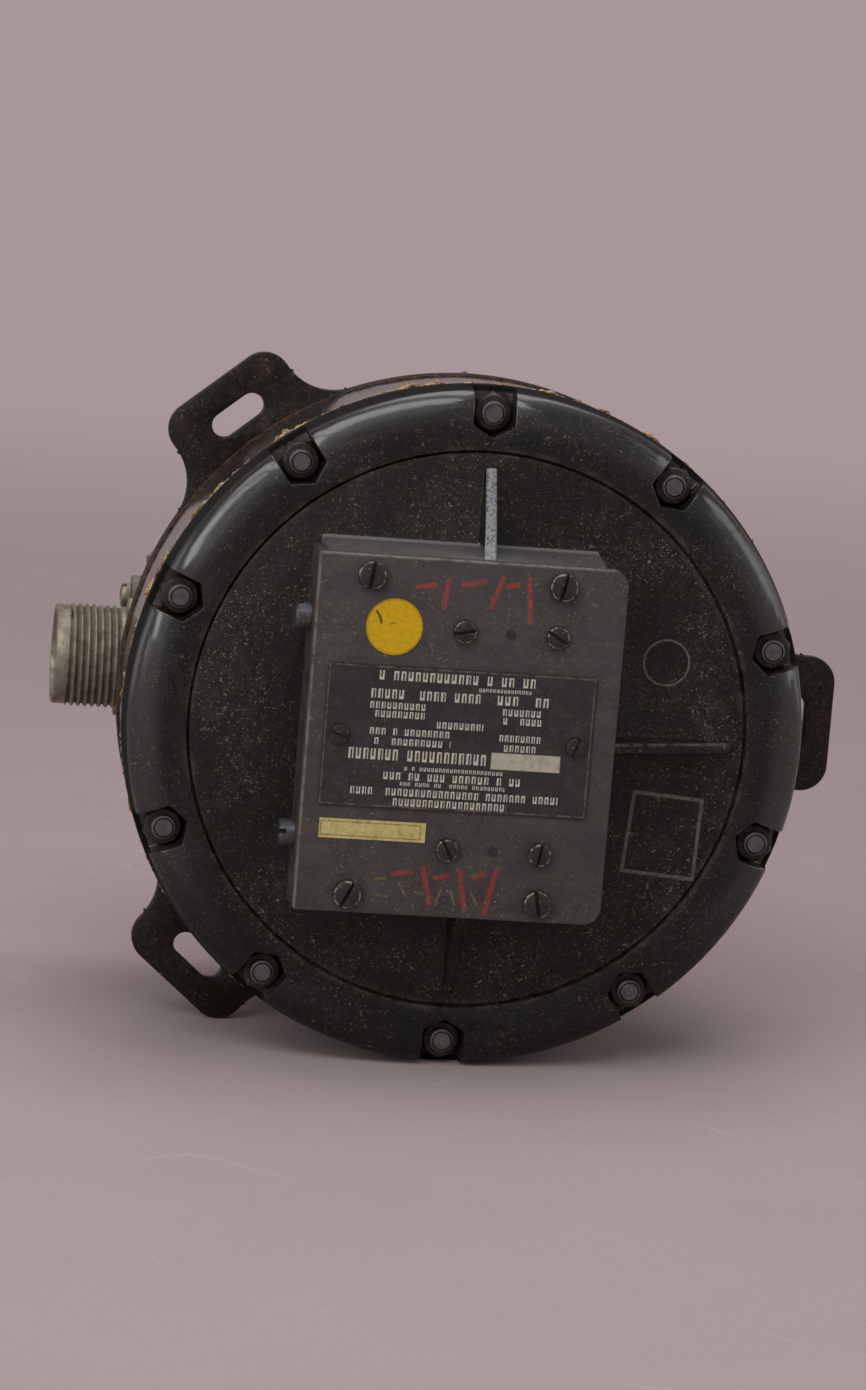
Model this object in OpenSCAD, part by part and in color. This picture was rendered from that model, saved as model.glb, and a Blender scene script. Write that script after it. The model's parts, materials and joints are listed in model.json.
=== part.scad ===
// Magnetic heading transmitter: a liquid-filled compass case that stands on its rim.
// Every piece is drawn about the case axis: x to the right and y up as seen from the face,
// z along the axis towards the face, with z = 0 at the seat of the mounting plate.

/* [Front cover] */
// Outer radius of the cover's rim
cover_r = 59.4; // [58:0.1:61]
// Height of the cover's side, from its cork gasket to the face of the disc
cover_side = 8; // [7.6:0.1:10]
// Thickness of the cover's disc
disc_t = 5; // [4:0.1:6]
// Width of the round-over on the cover's outer edge
rim_round = 4.5; // [2:0.1:6]
// Height of that round-over
rim_drop = 2.6; // [1.5:0.1:4]
// How far the foot of the cover stands out past its rim
foot_flare = 0.6; // [0.1:0.1:1]
// Height of the rim above the disc
rim_rise = 0.6; // [0.2:0.1:1.5]
// Width of the rim outside the groove line
rim_w = 10.5; // [10.2:0.1:11.9]
// Width of the groove line
groove_w = 0.4; // [0.3:0.1:1.2]
// Depth of the groove line
groove_depth = 0.9; // [0.3:0.1:1.6]
// Thickness of the skirt that locates the cover in the case ring
skirt_t = 2.2; // [1.5:0.1:3]

/* [Case ring and gaskets] */
// Length of the glossy case ring
ring_len = 21; // [16:0.5:30]
// How far the case ring stands inside the cover's rim
ring_inset = 0.4; // [0.2:0.1:0.8]
// Wall of the case ring at its upper end
ring_wall = 7.5; // [7.2:0.1:8]
// Width of the step that carries the baffle
baffle_step = 1.5; // [1:0.1:2.5]
// Thickness of the baffle
baffle_t = 1.4; // [1:0.1:2]
// Height of the baffle above the bottom of the case ring
baffle_rise = 13; // [12:0.5:14]
// Number of holes through the baffle
baffle_holes = 8;
// Distance of the baffle's holes from the case ring's bore
baffle_hole_inset = 11.5; // [7.5:0.5:20]
// Thickness of the cork gasket under the cover
upper_cork_t = 1.6; // [1:0.1:2.5]
// Thickness of the cork gasket on the mounting plate
lower_cork_t = 1.5; // [1:0.1:2.5]

/* [Mounting plate] */
// Thickness of the mounting plate
plate_t = 2.4; // [1.6:0.1:4]
// How far each lug reaches beyond the cover's rim
lug_stand = 12; // [11:0.1:16]
// Width of each lug
lug_w = 24.8; // [22:0.1:28]
// Corner radius of each lug
lug_corner_r = 4.8; // [3:0.1:6]
// Radius of the concave fillet at each lug's root
lug_fillet_r = 10; // [4:0.1:11]
// Angle from the connector to each of the two lugs beside it
lug_spread = 50; // [46:1:56]
// Length of each slot from end to end
slot_len = 10.4; // [7:0.1:11.4]
// Width of each slot
slot_w = 4.4; // [3.6:0.1:5]
// Distance from a slot's centre line to the lug's outer edge
slot_edge = 7.2; // [6.4:0.1:9]

/* [Studs and nuts] */
// Distance of the circle of studs inside the cover's rim
stud_inset = 3.9; // [3.6:0.1:4.2]
// Diameter of each stud
stud_d = 3.5; // [3:0.1:3.8]
// Clearance of a stud in its holes, on the radius
stud_gap = 0.2; // [0.1:0.05:0.3]
// Nut size across flats
nut_af = 6.35; // [6:0.05:6.8]
// Height of a nut's hexagon
nut_h = 2.4; // [2:0.1:3]
// Diameter of the flat crown on each cap nut
crown_d = 4.6; // [4.3:0.1:5]
// Height of the flat crown
crown_h = 1.4; // [1.1:0.1:1.8]
// Clearance between a nut and its pocket, on each flat
pocket_gap = 0.45; // [0.2:0.05:0.5]
// Depth of each pocket below the disc's face
pocket_depth = 5.4; // [4.6:0.1:6]
// Thickness of the washers
washer_t = 0.6; // [0.4:0.1:1]

/* [Compensator box] */
// Width of the box's cover plate
box_w = 53.4; // [51:0.2:55]
// Height of the box's cover plate
box_h = 62; // [60:0.2:64]
// Centre of the box to the right of the case axis
box_x = -3; // [-4:0.1:-2]
// Centre of the box above the case axis
box_y = 0.4; // [-1:0.1:1]
// Height of the moulded walls above the disc
wall_h = 10.8; // [10.6:0.1:12]
// Thickness of the moulded walls at their top
wall_t = 2.2; // [1.6:0.1:2.8]
// How much thicker the moulded walls are at their foot
wall_draft = 1.4; // [0.4:0.1:2]
// Corner radius of the box
box_corner_r = 3; // [2.9:0.1:4]
// Thickness of the box's gasket
box_gasket_t = 0.6; // [0.4:0.1:1]
// Thickness of the box's cover plate
box_plate_t = 1.6; // [1.2:0.1:2.5]
// Thickness of the side plate
side_plate_t = 1.6; // [1.2:0.1:2.4]
// Width of the ribs
rib_w = 1.9; // [1.4:0.1:2.6]
// Distance between the groove line and the outer end of each rib
rib_gap = 2.6; // [2:0.1:5]
// Height of a rib at its outer end
rib_end_h = 1.6; // [0.8:0.1:3]
// Distance between the corner screws across the box
corner_screws_x = 33; // [31:0.1:34]
// Distance between the corner screws up the box
corner_screws_y = 55.2; // [54:0.1:55.6]
// Centre of the corner screws to the right of the case axis
corner_screws_mid = -4.2; // [-5:0.1:-3.6]

/* [Compensator gears] */
// Centre of the magnet gears to the right of the case axis
gear_x = 4; // [3:0.1:5]
// Distance of the upper gears above the case axis
ns_y = 19.3; // [18.8:0.1:19.6]
// Distance of the lower gears below the case axis
ew_y = 18.6; // [18.2:0.1:19]
// Height of the adjusting shafts above the disc
shaft_h = 5.6; // [5.4:0.05:5.7]
// Diameter of the adjusting shafts
shaft_d = 2.2; // [1.8:0.1:2.4]
// Running clearance of a shaft in its bearings, on the radius
run_gap = 0.05; // [0.02:0.01:0.08]
// Diameter of each shaft's slotted head
head_d = 4.9; // [4.2:0.1:5.6]
// Length of each shaft's head
head_len = 2.6; // [2:0.1:4]
// Distance from the gear spindle to each shaft bearing
bearing_reach = 8.05; // [7.9:0.05:9]
// Teeth on each pinion
pinion_teeth = 8;
// Teeth on each crown gear
crown_teeth = 16;
// Pitch radius of a crown gear
crown_pitch_r = 4.4; // [4.3:0.05:4.5]
// Length of the crown teeth along the radius
crown_face = 1.2; // [0.8:0.1:1.4]
// Thickness of a crown gear's disc
crown_disc_t = 1.9; // [1.7:0.05:2]
// Radius of a crown gear's disc
crown_r = 5.4; // [5.3:0.05:5.6]
// Diameter of the gear spindles
spindle_d = 1.6; // [1.2:0.1:2]
// Length of each bar magnet
magnet_len = 7; // [5:0.1:7.2]
// Thickness and width of each bar magnet
magnet_t = 1.4; // [1:0.05:1.5]
// Distance of a bar magnet's centre line from the spindle
magnet_reach = 2.8; // [2.5:0.05:2.9]

/* [Plate and labels] */
// Width of the data plate
data_w = 46.4; // [40:0.2:48]
// Height of the data plate
data_h = 24.6; // [20:0.2:26]
// Thickness of the data plate
data_t = 0.5; // [0.3:0.1:0.8]
// Distance between the data plate's screws
data_screws = 40.9; // [36:0.1:42]
// Diameter of the round sticker
dot_d = 9.8; // [6:0.1:11]
// Length of the paper strip
strip_w = 18.4; // [12:0.1:20]
// Height of the paper strip
strip_h = 3.4; // [2.4:0.1:4]
// Thickness of the sticker and the strip
paper_t = 0.15; // [0.1:0.05:0.3]

/* [Connector] */
// Distance of the connector's axis behind the plate's seat
connector_drop = 27.5; // [26:0.1:30]
// Outer radius of the connector's barrel
barrel_r = 9.525; // [9:0.025:10]
// Length of the barrel in front of its flange
barrel_len = 14.3; // [12:0.1:18]
// Length of the plain lip at the barrel's mouth
lip_len = 2.6; // [1.5:0.1:3.5]
// Radius of the plain lip
lip_r = 9.2; // [8.9:0.05:9.4]
// Wall of the barrel at its lip
barrel_wall = 1.15; // [0.8:0.05:1.3]
// Side of the square flange
flange_w = 27.8; // [26:0.2:30]
// Thickness of the flange
flange_t = 1.6; // [1.2:0.1:3]
// Corner radius of the flange
flange_corner_r = 2; // [1:0.1:3]
// Spacing of the flange's four screws
flange_screws = 20.6; // [20:0.1:21.4]
// Thickness of the connector's gasket
flange_gasket_t = 0.8; // [0.5:0.1:1.5]
// Number of contacts round the middle one
contact_ring_n = 4;
// Radius of the ring of contacts
contact_ring_r = 4.6; // [4:0.1:5.2]
// Diameter of a contact
contact_d = 1.6; // [1.2:0.1:2]
// Distance from the barrel's mouth to the insert's face
socket_depth = 9.2; // [8:0.1:10]
// Distance from the barrel's mouth to the contacts' tips
contact_recess = 4.8; // [4.6:0.1:6]

/* [Bowl] */
// Distance of the bowl's wall inside the cover's rim
bowl_inset = 8; // [7.8:0.1:8.6]
// Wall of the bowl
bowl_wall = 2.9; // [2.4:0.1:3]
// Distance of the bowl's flange inside the cover's rim
bowl_flange_inset = 0.8; // [0.4:0.1:1]
// Thickness of the bowl's flange
bowl_flange_t = 5; // [3.5:0.1:7]
// Depth of the bowl's floor below the plate's seat
floor_drop = 38; // [37:0.5:42]
// Thickness of the bowl's floor
floor_t = 3; // [2.6:0.1:4]
// How far the bowl's rear edge stands past the rear cover
foot_stand = 1.6; // [1.3:0.1:5]
// Rounding of the bowl's rear edge
bowl_round = 2.4; // [1:0.1:3]
// How far the connector's boss stands out of the bowl's wall
boss_stand = 1.4; // [1.3:0.1:2.6]
// Distance between the bowl's bore and the bore of the expansion chamber
chamber_gap = 10.5; // [10:0.1:12.5]
// Width of the ledge that the diaphragm is clamped on
ledge_w = 5; // [4.6:0.1:6]
// Depth of the chamber in front of the diaphragm
chamber_depth = 2; // [1.4:0.1:3]
// Thickness of the ring wall round the expansion chamber
chamber_wall = 3; // [2:0.1:3.2]

/* [Rear cover] */
// Thickness of the diaphragm
diaphragm_t = 0.3; // [0.2:0.05:0.5]
// Height of the diaphragm's waves, crest to trough
wave_h = 1; // [0.4:0.1:1.4]
// Number of waves across the diaphragm's radius
wave_n = 4;
// Thickness of the clamping ring
clamp_ring_t = 2; // [1.4:0.1:2.6]
// Thickness of the rear cover
rear_cover_t = 1.6; // [1:0.1:2]
// Number of the rear cover's screws
rear_screw_n = 6;

/* [Stator] */
// Outer radius of the stator cup
cup_r = 29; // [28:0.1:30]
// Wall of the stator cup
cup_wall = 2; // [1.2:0.1:2.6]
// Height of the stator cup
cup_h = 23; // [21:0.5:24]
// Thickness of the cup's base
cup_base_t = 2; // [1.5:0.1:3]
// Inner radius of the stator winding
winding_bore_r = 13.5; // [12.5:0.1:14.5]
// Height of the stator winding
winding_h = 15; // [13:0.5:16]
// Thickness of the winding round the core
winding_t = 2.5; // [1.5:0.1:3.5]
// Thickness of the ring that holds the winding down
hold_ring_t = 1.5; // [1:0.1:2.5]
// Radius of the circle of the stator's screws
stator_screw_ring_r = 9.5; // [8:0.1:11]

/* [Float] */
// Radius of the float
float_r = 34; // [30:0.5:38]
// Height of the float
float_h = 16; // [12:0.5:18]
// Wall of the float's shells
float_wall = 0.8; // [0.5:0.1:1.2]
// Height of the float's underside above the stator cup
float_gap = 4; // [2:0.5:6]
// Radius of the rotor magnet
rotor_r = 9.5; // [8:0.1:10.5]
// Height of the rotor magnet
rotor_h = 9; // [6:0.5:11]
// Outer radius of the float's stem
stem_r = 2.8; // [2.4:0.1:3.4]
// Bore radius of the float's stem
stem_bore_r = 1.8; // [1.6:0.1:2]
// Radius of the pivot post
post_r = 1.2; // [0.9:0.1:1.4]
// Gap between the pivot's tip and its jewel
jewel_gap = 0.15; // [0.05:0.05:0.3]
// Gap between the float and the stop above it
stop_gap = 0.6; // [0.4:0.1:1]

/* [Screws and posts] */
// Radius of the corner screws of the box
corner_screw_r = 1.4; // [1.2:0.1:1.6]
// Radius of their heads
corner_head_r = 2.45; // [2.1:0.05:2.7]
// Height of their heads
corner_head_h = 1.7; // [1.2:0.1:2]
// How deep they go into their posts
corner_grip = 7.4; // [5:0.1:8.6]
// Radius of those posts
screw_post_r = 2.7; // [2.3:0.1:2.9]
// Radius of the screws of the shaft bearings
bearing_screw_r = 1.1; // [0.9:0.05:1.3]
// Radius of their heads
bearing_head_r = 2; // [1.7:0.05:2.2]
// Height of their heads
bearing_head_h = 1.4; // [1:0.1:1.7]
// How deep they go into the bearings
bearing_grip = 3.2; // [2.2:0.1:3.4]
// Radius of the data plate's screws
data_screw_r = 0.8; // [0.6:0.05:0.9]
// Radius of their heads
data_head_r = 1.7; // [1.4:0.05:1.9]
// Height of their heads
data_head_h = 0.8; // [0.6:0.1:1.1]
// Radius of the connector's screws
flange_screw_r = 1.2; // [1:0.1:1.4]
// Radius of their heads
flange_head_r = 2.3; // [2:0.1:2.6]
// Height of their heads
flange_head_h = 1.8; // [1.3:0.1:2]
// How deep they go into the boss
flange_grip = 2.2; // [1.8:0.1:2.4]
// Radius of the rear cover's screws
rear_screw_r = 1.1; // [0.9:0.05:1.3]
// Radius of their heads
rear_head_r = 2; // [1.7:0.05:2.3]
// Height of their heads
rear_head_h = 1.3; // [1:0.1:1.5]
// How deep they go into the ledge
rear_grip = 3; // [2:0.1:3.4]
// Radius of the stator's screws
stator_screw_r = 1; // [0.8:0.05:1.2]
// Radius of their heads
stator_head_r = 1.9; // [1.6:0.05:2.2]
// Height of their heads
stator_head_h = 1.2; // [0.9:0.1:1.5]
// How deep they go into the bowl's floor
stator_grip = 2; // [1.4:0.1:2.1]
// Radius of the bushes in the side plate
bush_r = 2; // [1.8:0.1:2.2]
// Radius of the washers of the front gears
gear_washer_r = 1.8; // [1.6:0.1:1.9]
// Radius of the filler plug
filler_plug_r = 2; // [1.6:0.1:2.3]
// Radius of the ports between the bowl and the expansion chamber
port_r = 1.2; // [0.8:0.1:1.4]

/* [Hidden] */
$fn = 72;
// Angles of the studs: the pitch opens beside the connector, so the cover fits one way only
STUD_ANGLES = [18, 54, 90, 126, 158.6, 201.4, 234, 270, 306, 342];
// Clearance of pieces that are pushed together by hand, on the radius
FIT = 0.1;
// Small overrun of a cutting tool past the face that it cuts
CUT = 1;

// Heights along the case axis
plate_top = plate_t;
ring_base = plate_top + lower_cork_t;
ring_top = ring_base + ring_len;
cork_top = ring_top + upper_cork_t;
face = cork_top + cover_side;
rim_top = face + rim_rise;
pocket_z = face - pocket_depth;
nut_z = pocket_z + washer_t;
wall_top = face + wall_h;
box_plate_z = wall_top + box_gasket_t;
box_top = box_plate_z + box_plate_t;
baffle_z = ring_base + baffle_rise;
skirt_z = baffle_z + baffle_t;
floor_z = -floor_drop;
chamber_z = floor_z - floor_t;
ledge_z = chamber_z - chamber_depth;
clamp_z = ledge_z - diaphragm_t - clamp_ring_t;
rear_cover_z = clamp_z - rear_cover_t;

// Radii of the case
foot_r = cover_r + foot_flare;
groove_r = cover_r - rim_w;
stud_ring_r = cover_r - stud_inset;
rib_end_r = groove_r - rib_gap;
ring_r = cover_r - ring_inset;
ring_bore = ring_r - ring_wall;
skirt_r = ring_bore - FIT;
bowl_r = cover_r - bowl_inset;
bowl_flange_r = cover_r - bowl_flange_inset;
bowl_bore = bowl_r - bowl_wall;
bowl_depth = foot_stand - rear_cover_z;
boss_reach = bowl_r + boss_stand;
diaphragm_r = bowl_bore - chamber_gap;
baffle_hole_ring_r = ring_bore - baffle_hole_inset;
lug_reach = cover_r + lug_stand;
lug_angles = [0, 180 - lug_spread, 180 + lug_spread];
pocket_af = nut_af + 2 * pocket_gap;
stud_hole_r = stud_d / 2 + stud_gap;
thread_r = stud_d / 2 + 0.05;
stud_top = nut_z + nut_h + 0.3;
stud_rear = -bowl_flange_t - washer_t - nut_h - 1;

// The case leans until the cover's foot and the lower lug's corner stand on one flat floor
corner_u = lug_reach - lug_corner_r;
corner_v = lug_w / 2 - lug_corner_r;
corner_angle = 180 + lug_spread + atan2(corner_v, corner_u);
rest_roll = corner_angle - 180 - asin((foot_r - lug_corner_r) / norm([corner_u, corner_v]));

// Compensator box
box_left = box_x - box_w / 2;
box_right = box_x + box_w / 2;
box_low = box_y - box_h / 2;
box_high = box_y + box_h / 2;
wall_left = box_left + side_plate_t;
shaft_z = face + shaft_h;
shaft_rows = [ns_y, -ew_y];
corner_screws = [for (sx = [-1, 1], sy = [-1, 1])
    [corner_screws_mid + sx * corner_screws_x / 2, box_y + sy * corner_screws_y / 2]];
bearing_size = [4.3, 6.4];
data_x = box_x - 0.7;

// Crown gears: the pinion's pitch radius follows from the tooth counts
pinion_pitch_r = crown_pitch_r * pinion_teeth / crown_teeth;
tooth_pitch = 2 * PI * crown_pitch_r / crown_teeth;
crown_tip = pinion_pitch_r - 0.26 * tooth_pitch;
crown_root = pinion_pitch_r + 0.38 * tooth_pitch;
crown_half = 0.15 * tooth_pitch;
pinion_tip_r = pinion_pitch_r + 0.18 * tooth_pitch;
pinion_root_r = pinion_pitch_r - 0.4 * tooth_pitch;
gear_back = crown_root + crown_disc_t;
pinion_x = gear_x - crown_pitch_r;
spindle_r = spindle_d / 2;
gear_float = 0.1;

// Connector, drawn from the case axis outwards
gasket_face = boss_reach + flange_gasket_t;
flange_face = gasket_face + flange_t;
mouth = flange_face + barrel_len;
barrel_bore = lip_r - barrel_wall;
tail_r = barrel_bore + 0.5;
tail_end = bowl_bore - 2;
contacts = concat([[0, 0]], [for (i = [0:contact_ring_n - 1])
    contact_ring_r * [cos(45 + i * 360 / contact_ring_n), sin(45 + i * 360 / contact_ring_n)]]);

// Stator, float and pivot
cup_top = floor_z + cup_h;
winding_z = floor_z + cup_base_t + 1;
winding_top = winding_z + winding_h;
winding_r = cup_r - cup_wall - FIT;
float_z = cup_top + float_gap;
float_top = float_z + float_h;
float_mid = float_z + float_h / 2;
rotor_z = winding_z + (winding_h - rotor_h) / 2;
jewel_z = float_top - 3;
jewel_r = 1.5;
hub_r = stem_r + 1.2;
terminal_reach = 5;
lead_r = 0.5;
port_n = 4;
filler_r = (diaphragm_r + chamber_wall + bowl_bore) / 2;

// Places a drawing made about the case axis: face towards the viewer, leaning on the lug
module in_case() {
    rotate([90, 0, 0]) rotate([0, 0, -rest_roll]) children();
}

// Repeats a shape at every stud
module at_studs(z = 0) {
    for (a = STUD_ANGLES) rotate([0, 0, a]) translate([stud_ring_r, 0, z]) children();
}

// Turns a drawing so that its z points outwards along the connector's axis
module along_connector() {
    translate([0, 0, -connector_drop]) rotate([0, -90, 0]) rotate([0, 0, 180]) children();
}

// Turns a drawing so that its z runs along an adjusting shaft, to the right
module along_shaft(y) {
    translate([0, y, shaft_z]) rotate([90, 0, 90]) children();
}

// Flat ring or tube
module ring(outer, inner, z, h) {
    translate([0, 0, z]) difference() {
        cylinder(r = outer, h = h);
        translate([0, 0, -CUT]) cylinder(r = inner, h = h + 2 * CUT);
    }
}

// Rectangle with its own radius at each side: left corners first, then right corners
module plate_outline(x0, x1, y0, y1, r_left, r_right) {
    difference() {
        translate([x0, y0]) square([x1 - x0, y1 - y0]);
        for (y = [y0, y1], x = [x0, x1]) let (r = x == x0 ? r_left : r_right,
                sx = x == x0 ? 1 : -1, sy = y == y0 ? 1 : -1)
            if (r > 0) difference() {
                translate([x - (sx < 0 ? r : 0), y - (sy < 0 ? r : 0)]) square(r);
                translate([x + sx * r, y + sy * r]) circle(r = r);
            }
    }
}

// Hexagon whose flats lie along the radius, so that a corner points to the case axis
module hex(af, h) {
    cylinder(r = af / sqrt(3), h = h, $fn = 6);
}

// Machine screw with a slotted fillister head: z = 0 under the head, shank downwards
module screw(shank_r, shank_len, head_r, head_h, turn) {
    rotate([0, 0, turn]) difference() {
        union() {
            cylinder(r = head_r, h = head_h * 0.7);
            translate([0, 0, head_h * 0.7]) cylinder(r1 = head_r, r2 = head_r * 0.8, h = head_h * 0.3);
            translate([0, 0, -shank_len]) cylinder(r = shank_r, h = shank_len + 0.1);
        }
        translate([-head_r - CUT, -head_r * 0.13, head_h * 0.5])
            cube([2 * head_r + 2 * CUT, head_r * 0.26, head_h]);
    }
}

// Section of the cover: disc, rim with its foot and round-over, and the skirt inside the case ring
module cover_section() {
    difference() {
        union() {
            translate([0, face - disc_t]) square([groove_r, disc_t]);
            polygon(concat([[groove_r - 0.01, cork_top], [foot_r, cork_top], [foot_r, pocket_z + 0.3]],
                [for (a = [0:7.5:90])
                    [cover_r - rim_round * (1 - cos(a)), rim_top - rim_drop * (1 - sin(a))]],
                [[groove_r - 0.01, rim_top]]));
            translate([skirt_r - skirt_t, skirt_z]) square([skirt_t, rim_top - rim_rise - skirt_z]);
        }
        translate([groove_r - groove_w / 2, face - groove_depth])
            square([groove_w, groove_depth + rim_rise + CUT]);
    }
}

// Section of a moulded box wall, from its inner face outwards
module wall_section() {
    polygon([[0, 0], [wall_t + wall_draft, 0], [wall_t, wall_h], [0, wall_h]]);
}

// Moulded walls of the compensator box: top, right and bottom, with two round corners
module box_walls() {
    inner_r = box_corner_r - wall_t;
    translate([0, 0, face - 0.01]) {
        for (s = [1, -1]) {
            edge = s > 0 ? box_high : box_low;
            // straight wall along the top or the bottom
            translate([wall_left, edge - s * wall_t, 0])
                mirror([0, s > 0 ? 0 : 1, 0]) rotate([90, 0, 90])
                    linear_extrude(box_right - box_corner_r - wall_left) wall_section();
            // round corner into the right wall
            translate([box_right - box_corner_r, edge - s * box_corner_r, 0])
                rotate([0, 0, s > 0 ? 0 : -90]) rotate_extrude(angle = 90)
                    translate([inner_r, 0]) wall_section();
        }
        translate([box_right - wall_t, box_high - box_corner_r, 0]) rotate([90, 0, 0])
            linear_extrude(box_h - 2 * box_corner_r) wall_section();
    }
}

// Wedge rib from the rim side of the disc up to a box wall
module rib(wall_reach, angle) {
    rotate([0, 0, angle]) translate([0, rib_w / 2, face - 0.01]) rotate([90, 0, 0])
        linear_extrude(rib_w)
            polygon([[wall_reach, 0], [rib_end_r, 0], [rib_end_r, rib_end_h], [wall_reach, wall_h]]);
}

// Half hexagon with its corner towards the disc, open at the rim
module nut_pocket() {
    h = pocket_af / 2;
    v = pocket_af / sqrt(3);
    linear_extrude(cover_side + CUT)
        polygon([[-v, 0], [-v / 2, -h], [cover_r, -h], [cover_r, h], [-v / 2, h]]);
}

module front_cover() {
    color([0.13, 0.12, 0.12]) in_case() difference() {
        union() {
            rotate_extrude($fn = 144) cover_section();
            box_walls();
            rib(box_right - 0.5, 0);
            rib(box_high - 0.5, 90);
            rib(-box_low - 0.5, 270);
            // posts that the corner screws are tapped into
            for (p = corner_screws) translate([p.x, p.y, face - 0.01])
                cylinder(r = screw_post_r, h = wall_h);
            // seats of the rear magnet gears
            for (y = shaft_rows) translate([gear_x, y, face - 0.01])
                cylinder(r = gear_washer_r, h = shaft_h - gear_back - gear_float);
        }
        at_studs(pocket_z) nut_pocket();
        at_studs(cork_top - CUT) cylinder(r = stud_hole_r, h = cover_side);
        for (p = corner_screws) translate([p.x, p.y, wall_top - corner_grip - 0.6])
            cylinder(r = corner_screw_r + FIT, h = corner_grip + 0.6 + CUT);
        for (y = shaft_rows) translate([gear_x, y, face - disc_t + 1.5])
            cylinder(r = spindle_r, h = disc_t + CUT);
    }
}

module cover_cork() {
    color([0.36, 0.25, 0.15]) in_case() difference() {
        ring(foot_r, ring_bore + FIT, ring_top, upper_cork_t);
        at_studs(ring_top - CUT) cylinder(r = stud_hole_r, h = upper_cork_t + 2 * CUT);
    }
}

module case_ring() {
    color([0.10, 0.08, 0.08]) in_case() difference() {
        rotate_extrude($fn = 144) difference() {
            translate([ring_bore - baffle_step, ring_base]) square([ring_wall + baffle_step, ring_len]);
            translate([ring_bore - baffle_step - CUT, baffle_z]) square([baffle_step + CUT, ring_len]);
        }
        at_studs(ring_base - CUT) cylinder(r = stud_hole_r, h = ring_len + 2 * CUT);
    }
}

module plate_cork() {
    color([0.30, 0.20, 0.14]) in_case() difference() {
        ring(cover_r, ring_bore, plate_top, lower_cork_t);
        at_studs(plate_top - CUT) cylinder(r = stud_hole_r, h = lower_cork_t + 2 * CUT);
    }
}

// Outline of one lug, drawn along x, with its concave root fillets
module lug_outline() {
    half = lug_w / 2;
    fillet_v = half + lug_fillet_r;
    fillet_u = sqrt(pow(cover_r + lug_fillet_r, 2) - pow(fillet_v, 2));
    // the fillet starts a hair inside the ring and ends a hair inside the lug
    root_v = (cover_r - 0.3) * sin(atan2(fillet_v, fillet_u) - 0.6);
    root_u = ring_bore + 2;
    plate_outline(root_u, lug_reach, -half, half, 0, lug_corner_r);
    for (s = [-1, 1]) difference() {
        translate([root_u, s > 0 ? half - 0.5 : -root_v])
            square([fillet_u - 0.6 - root_u, root_v - half + 0.5]);
        translate([fillet_u, s * fillet_v]) circle(r = lug_fillet_r);
    }
}

module mounting_plate() {
    slot_r = lug_reach - slot_edge;
    color([0.14, 0.12, 0.11]) in_case() linear_extrude(plate_t) difference() {
        union() {
            circle(r = cover_r, $fn = 144);
            for (a = lug_angles) rotate(a) lug_outline();
        }
        circle(r = ring_bore, $fn = 144);
        for (a = lug_angles) rotate(a) translate([slot_r, 0]) {
            square([slot_w, slot_len - slot_w], center = true);
            for (s = [-1, 1]) translate([0, s * (slot_len - slot_w) / 2]) circle(r = slot_w / 2);
        }
        for (a = STUD_ANGLES) rotate(a) translate([stud_ring_r, 0]) circle(r = stud_hole_r);
    }
}

module case_studs() {
    color([0.45, 0.44, 0.42]) in_case() at_studs(stud_rear)
        cylinder(r = stud_d / 2, h = stud_top - stud_rear);
}

module cap_nuts() {
    color([0.30, 0.29, 0.28]) in_case() at_studs(nut_z) difference() {
        union() {
            intersection() {
                hex(nut_af, nut_h);
                cylinder(r1 = nut_af / sqrt(3) + 1.1, r2 = nut_af / 2 - 0.1, h = nut_h + 0.6);
            }
            translate([0, 0, nut_h - 0.1]) cylinder(r = crown_d / 2, h = crown_h - 0.4);
            translate([0, 0, nut_h + crown_h - 0.5])
                cylinder(r1 = crown_d / 2, r2 = crown_d / 2 - 0.5, h = 0.5);
        }
        translate([0, 0, -CUT]) cylinder(r = thread_r, h = CUT + nut_h + 0.5);
    }
}

module rear_nuts() {
    color([0.42, 0.41, 0.39]) in_case() at_studs(-bowl_flange_t - washer_t - nut_h) difference() {
        hex(nut_af, nut_h);
        translate([0, 0, -CUT]) cylinder(r = thread_r, h = nut_h + 2 * CUT);
    }
}

module stud_washers() {
    color([0.50, 0.49, 0.46]) in_case() for (z = [pocket_z, -bowl_flange_t - washer_t])
        at_studs() ring(nut_af / 2, stud_hole_r, z, washer_t);
}

// Outline of the box: nearly square corners on the left, round ones on the right
module box_outline() {
    plate_outline(box_left, box_right, box_low, box_high, 0.6, box_corner_r);
}

module box_holes(corner_r, bearing_r, spindle) {
    for (p = corner_screws) translate(p) circle(r = corner_r);
    for (y = shaft_rows) {
        for (s = [-1, 1]) translate([gear_x + s * bearing_reach, y]) circle(r = bearing_r);
        translate([gear_x, y]) circle(r = spindle);
    }
}

module box_gasket() {
    color([0.28, 0.22, 0.16]) in_case() translate([0, 0, wall_top]) linear_extrude(box_gasket_t)
        difference() {
        box_outline();
        box_holes(corner_screw_r + FIT, bearing_screw_r + FIT, gear_washer_r + 0.3);
    }
}

module box_cover() {
    color([0.24, 0.23, 0.23]) in_case() translate([0, 0, box_plate_z])
        linear_extrude(box_plate_t) difference() {
            box_outline();
            box_holes(corner_screw_r + FIT, bearing_screw_r + FIT, spindle_r);
            for (s = [-1, 1]) translate([data_x + s * data_screws / 2, box_y]) circle(r = data_screw_r);
        }
}

module side_plate() {
    color([0.26, 0.25, 0.25]) in_case() difference() {
        translate([box_left, box_low, face]) cube([side_plate_t, box_h, wall_h]);
        for (y = shaft_rows) along_shaft(y) translate([0, 0, box_left - CUT])
            cylinder(r = bush_r, h = side_plate_t + 2 * CUT);
    }
}

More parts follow.
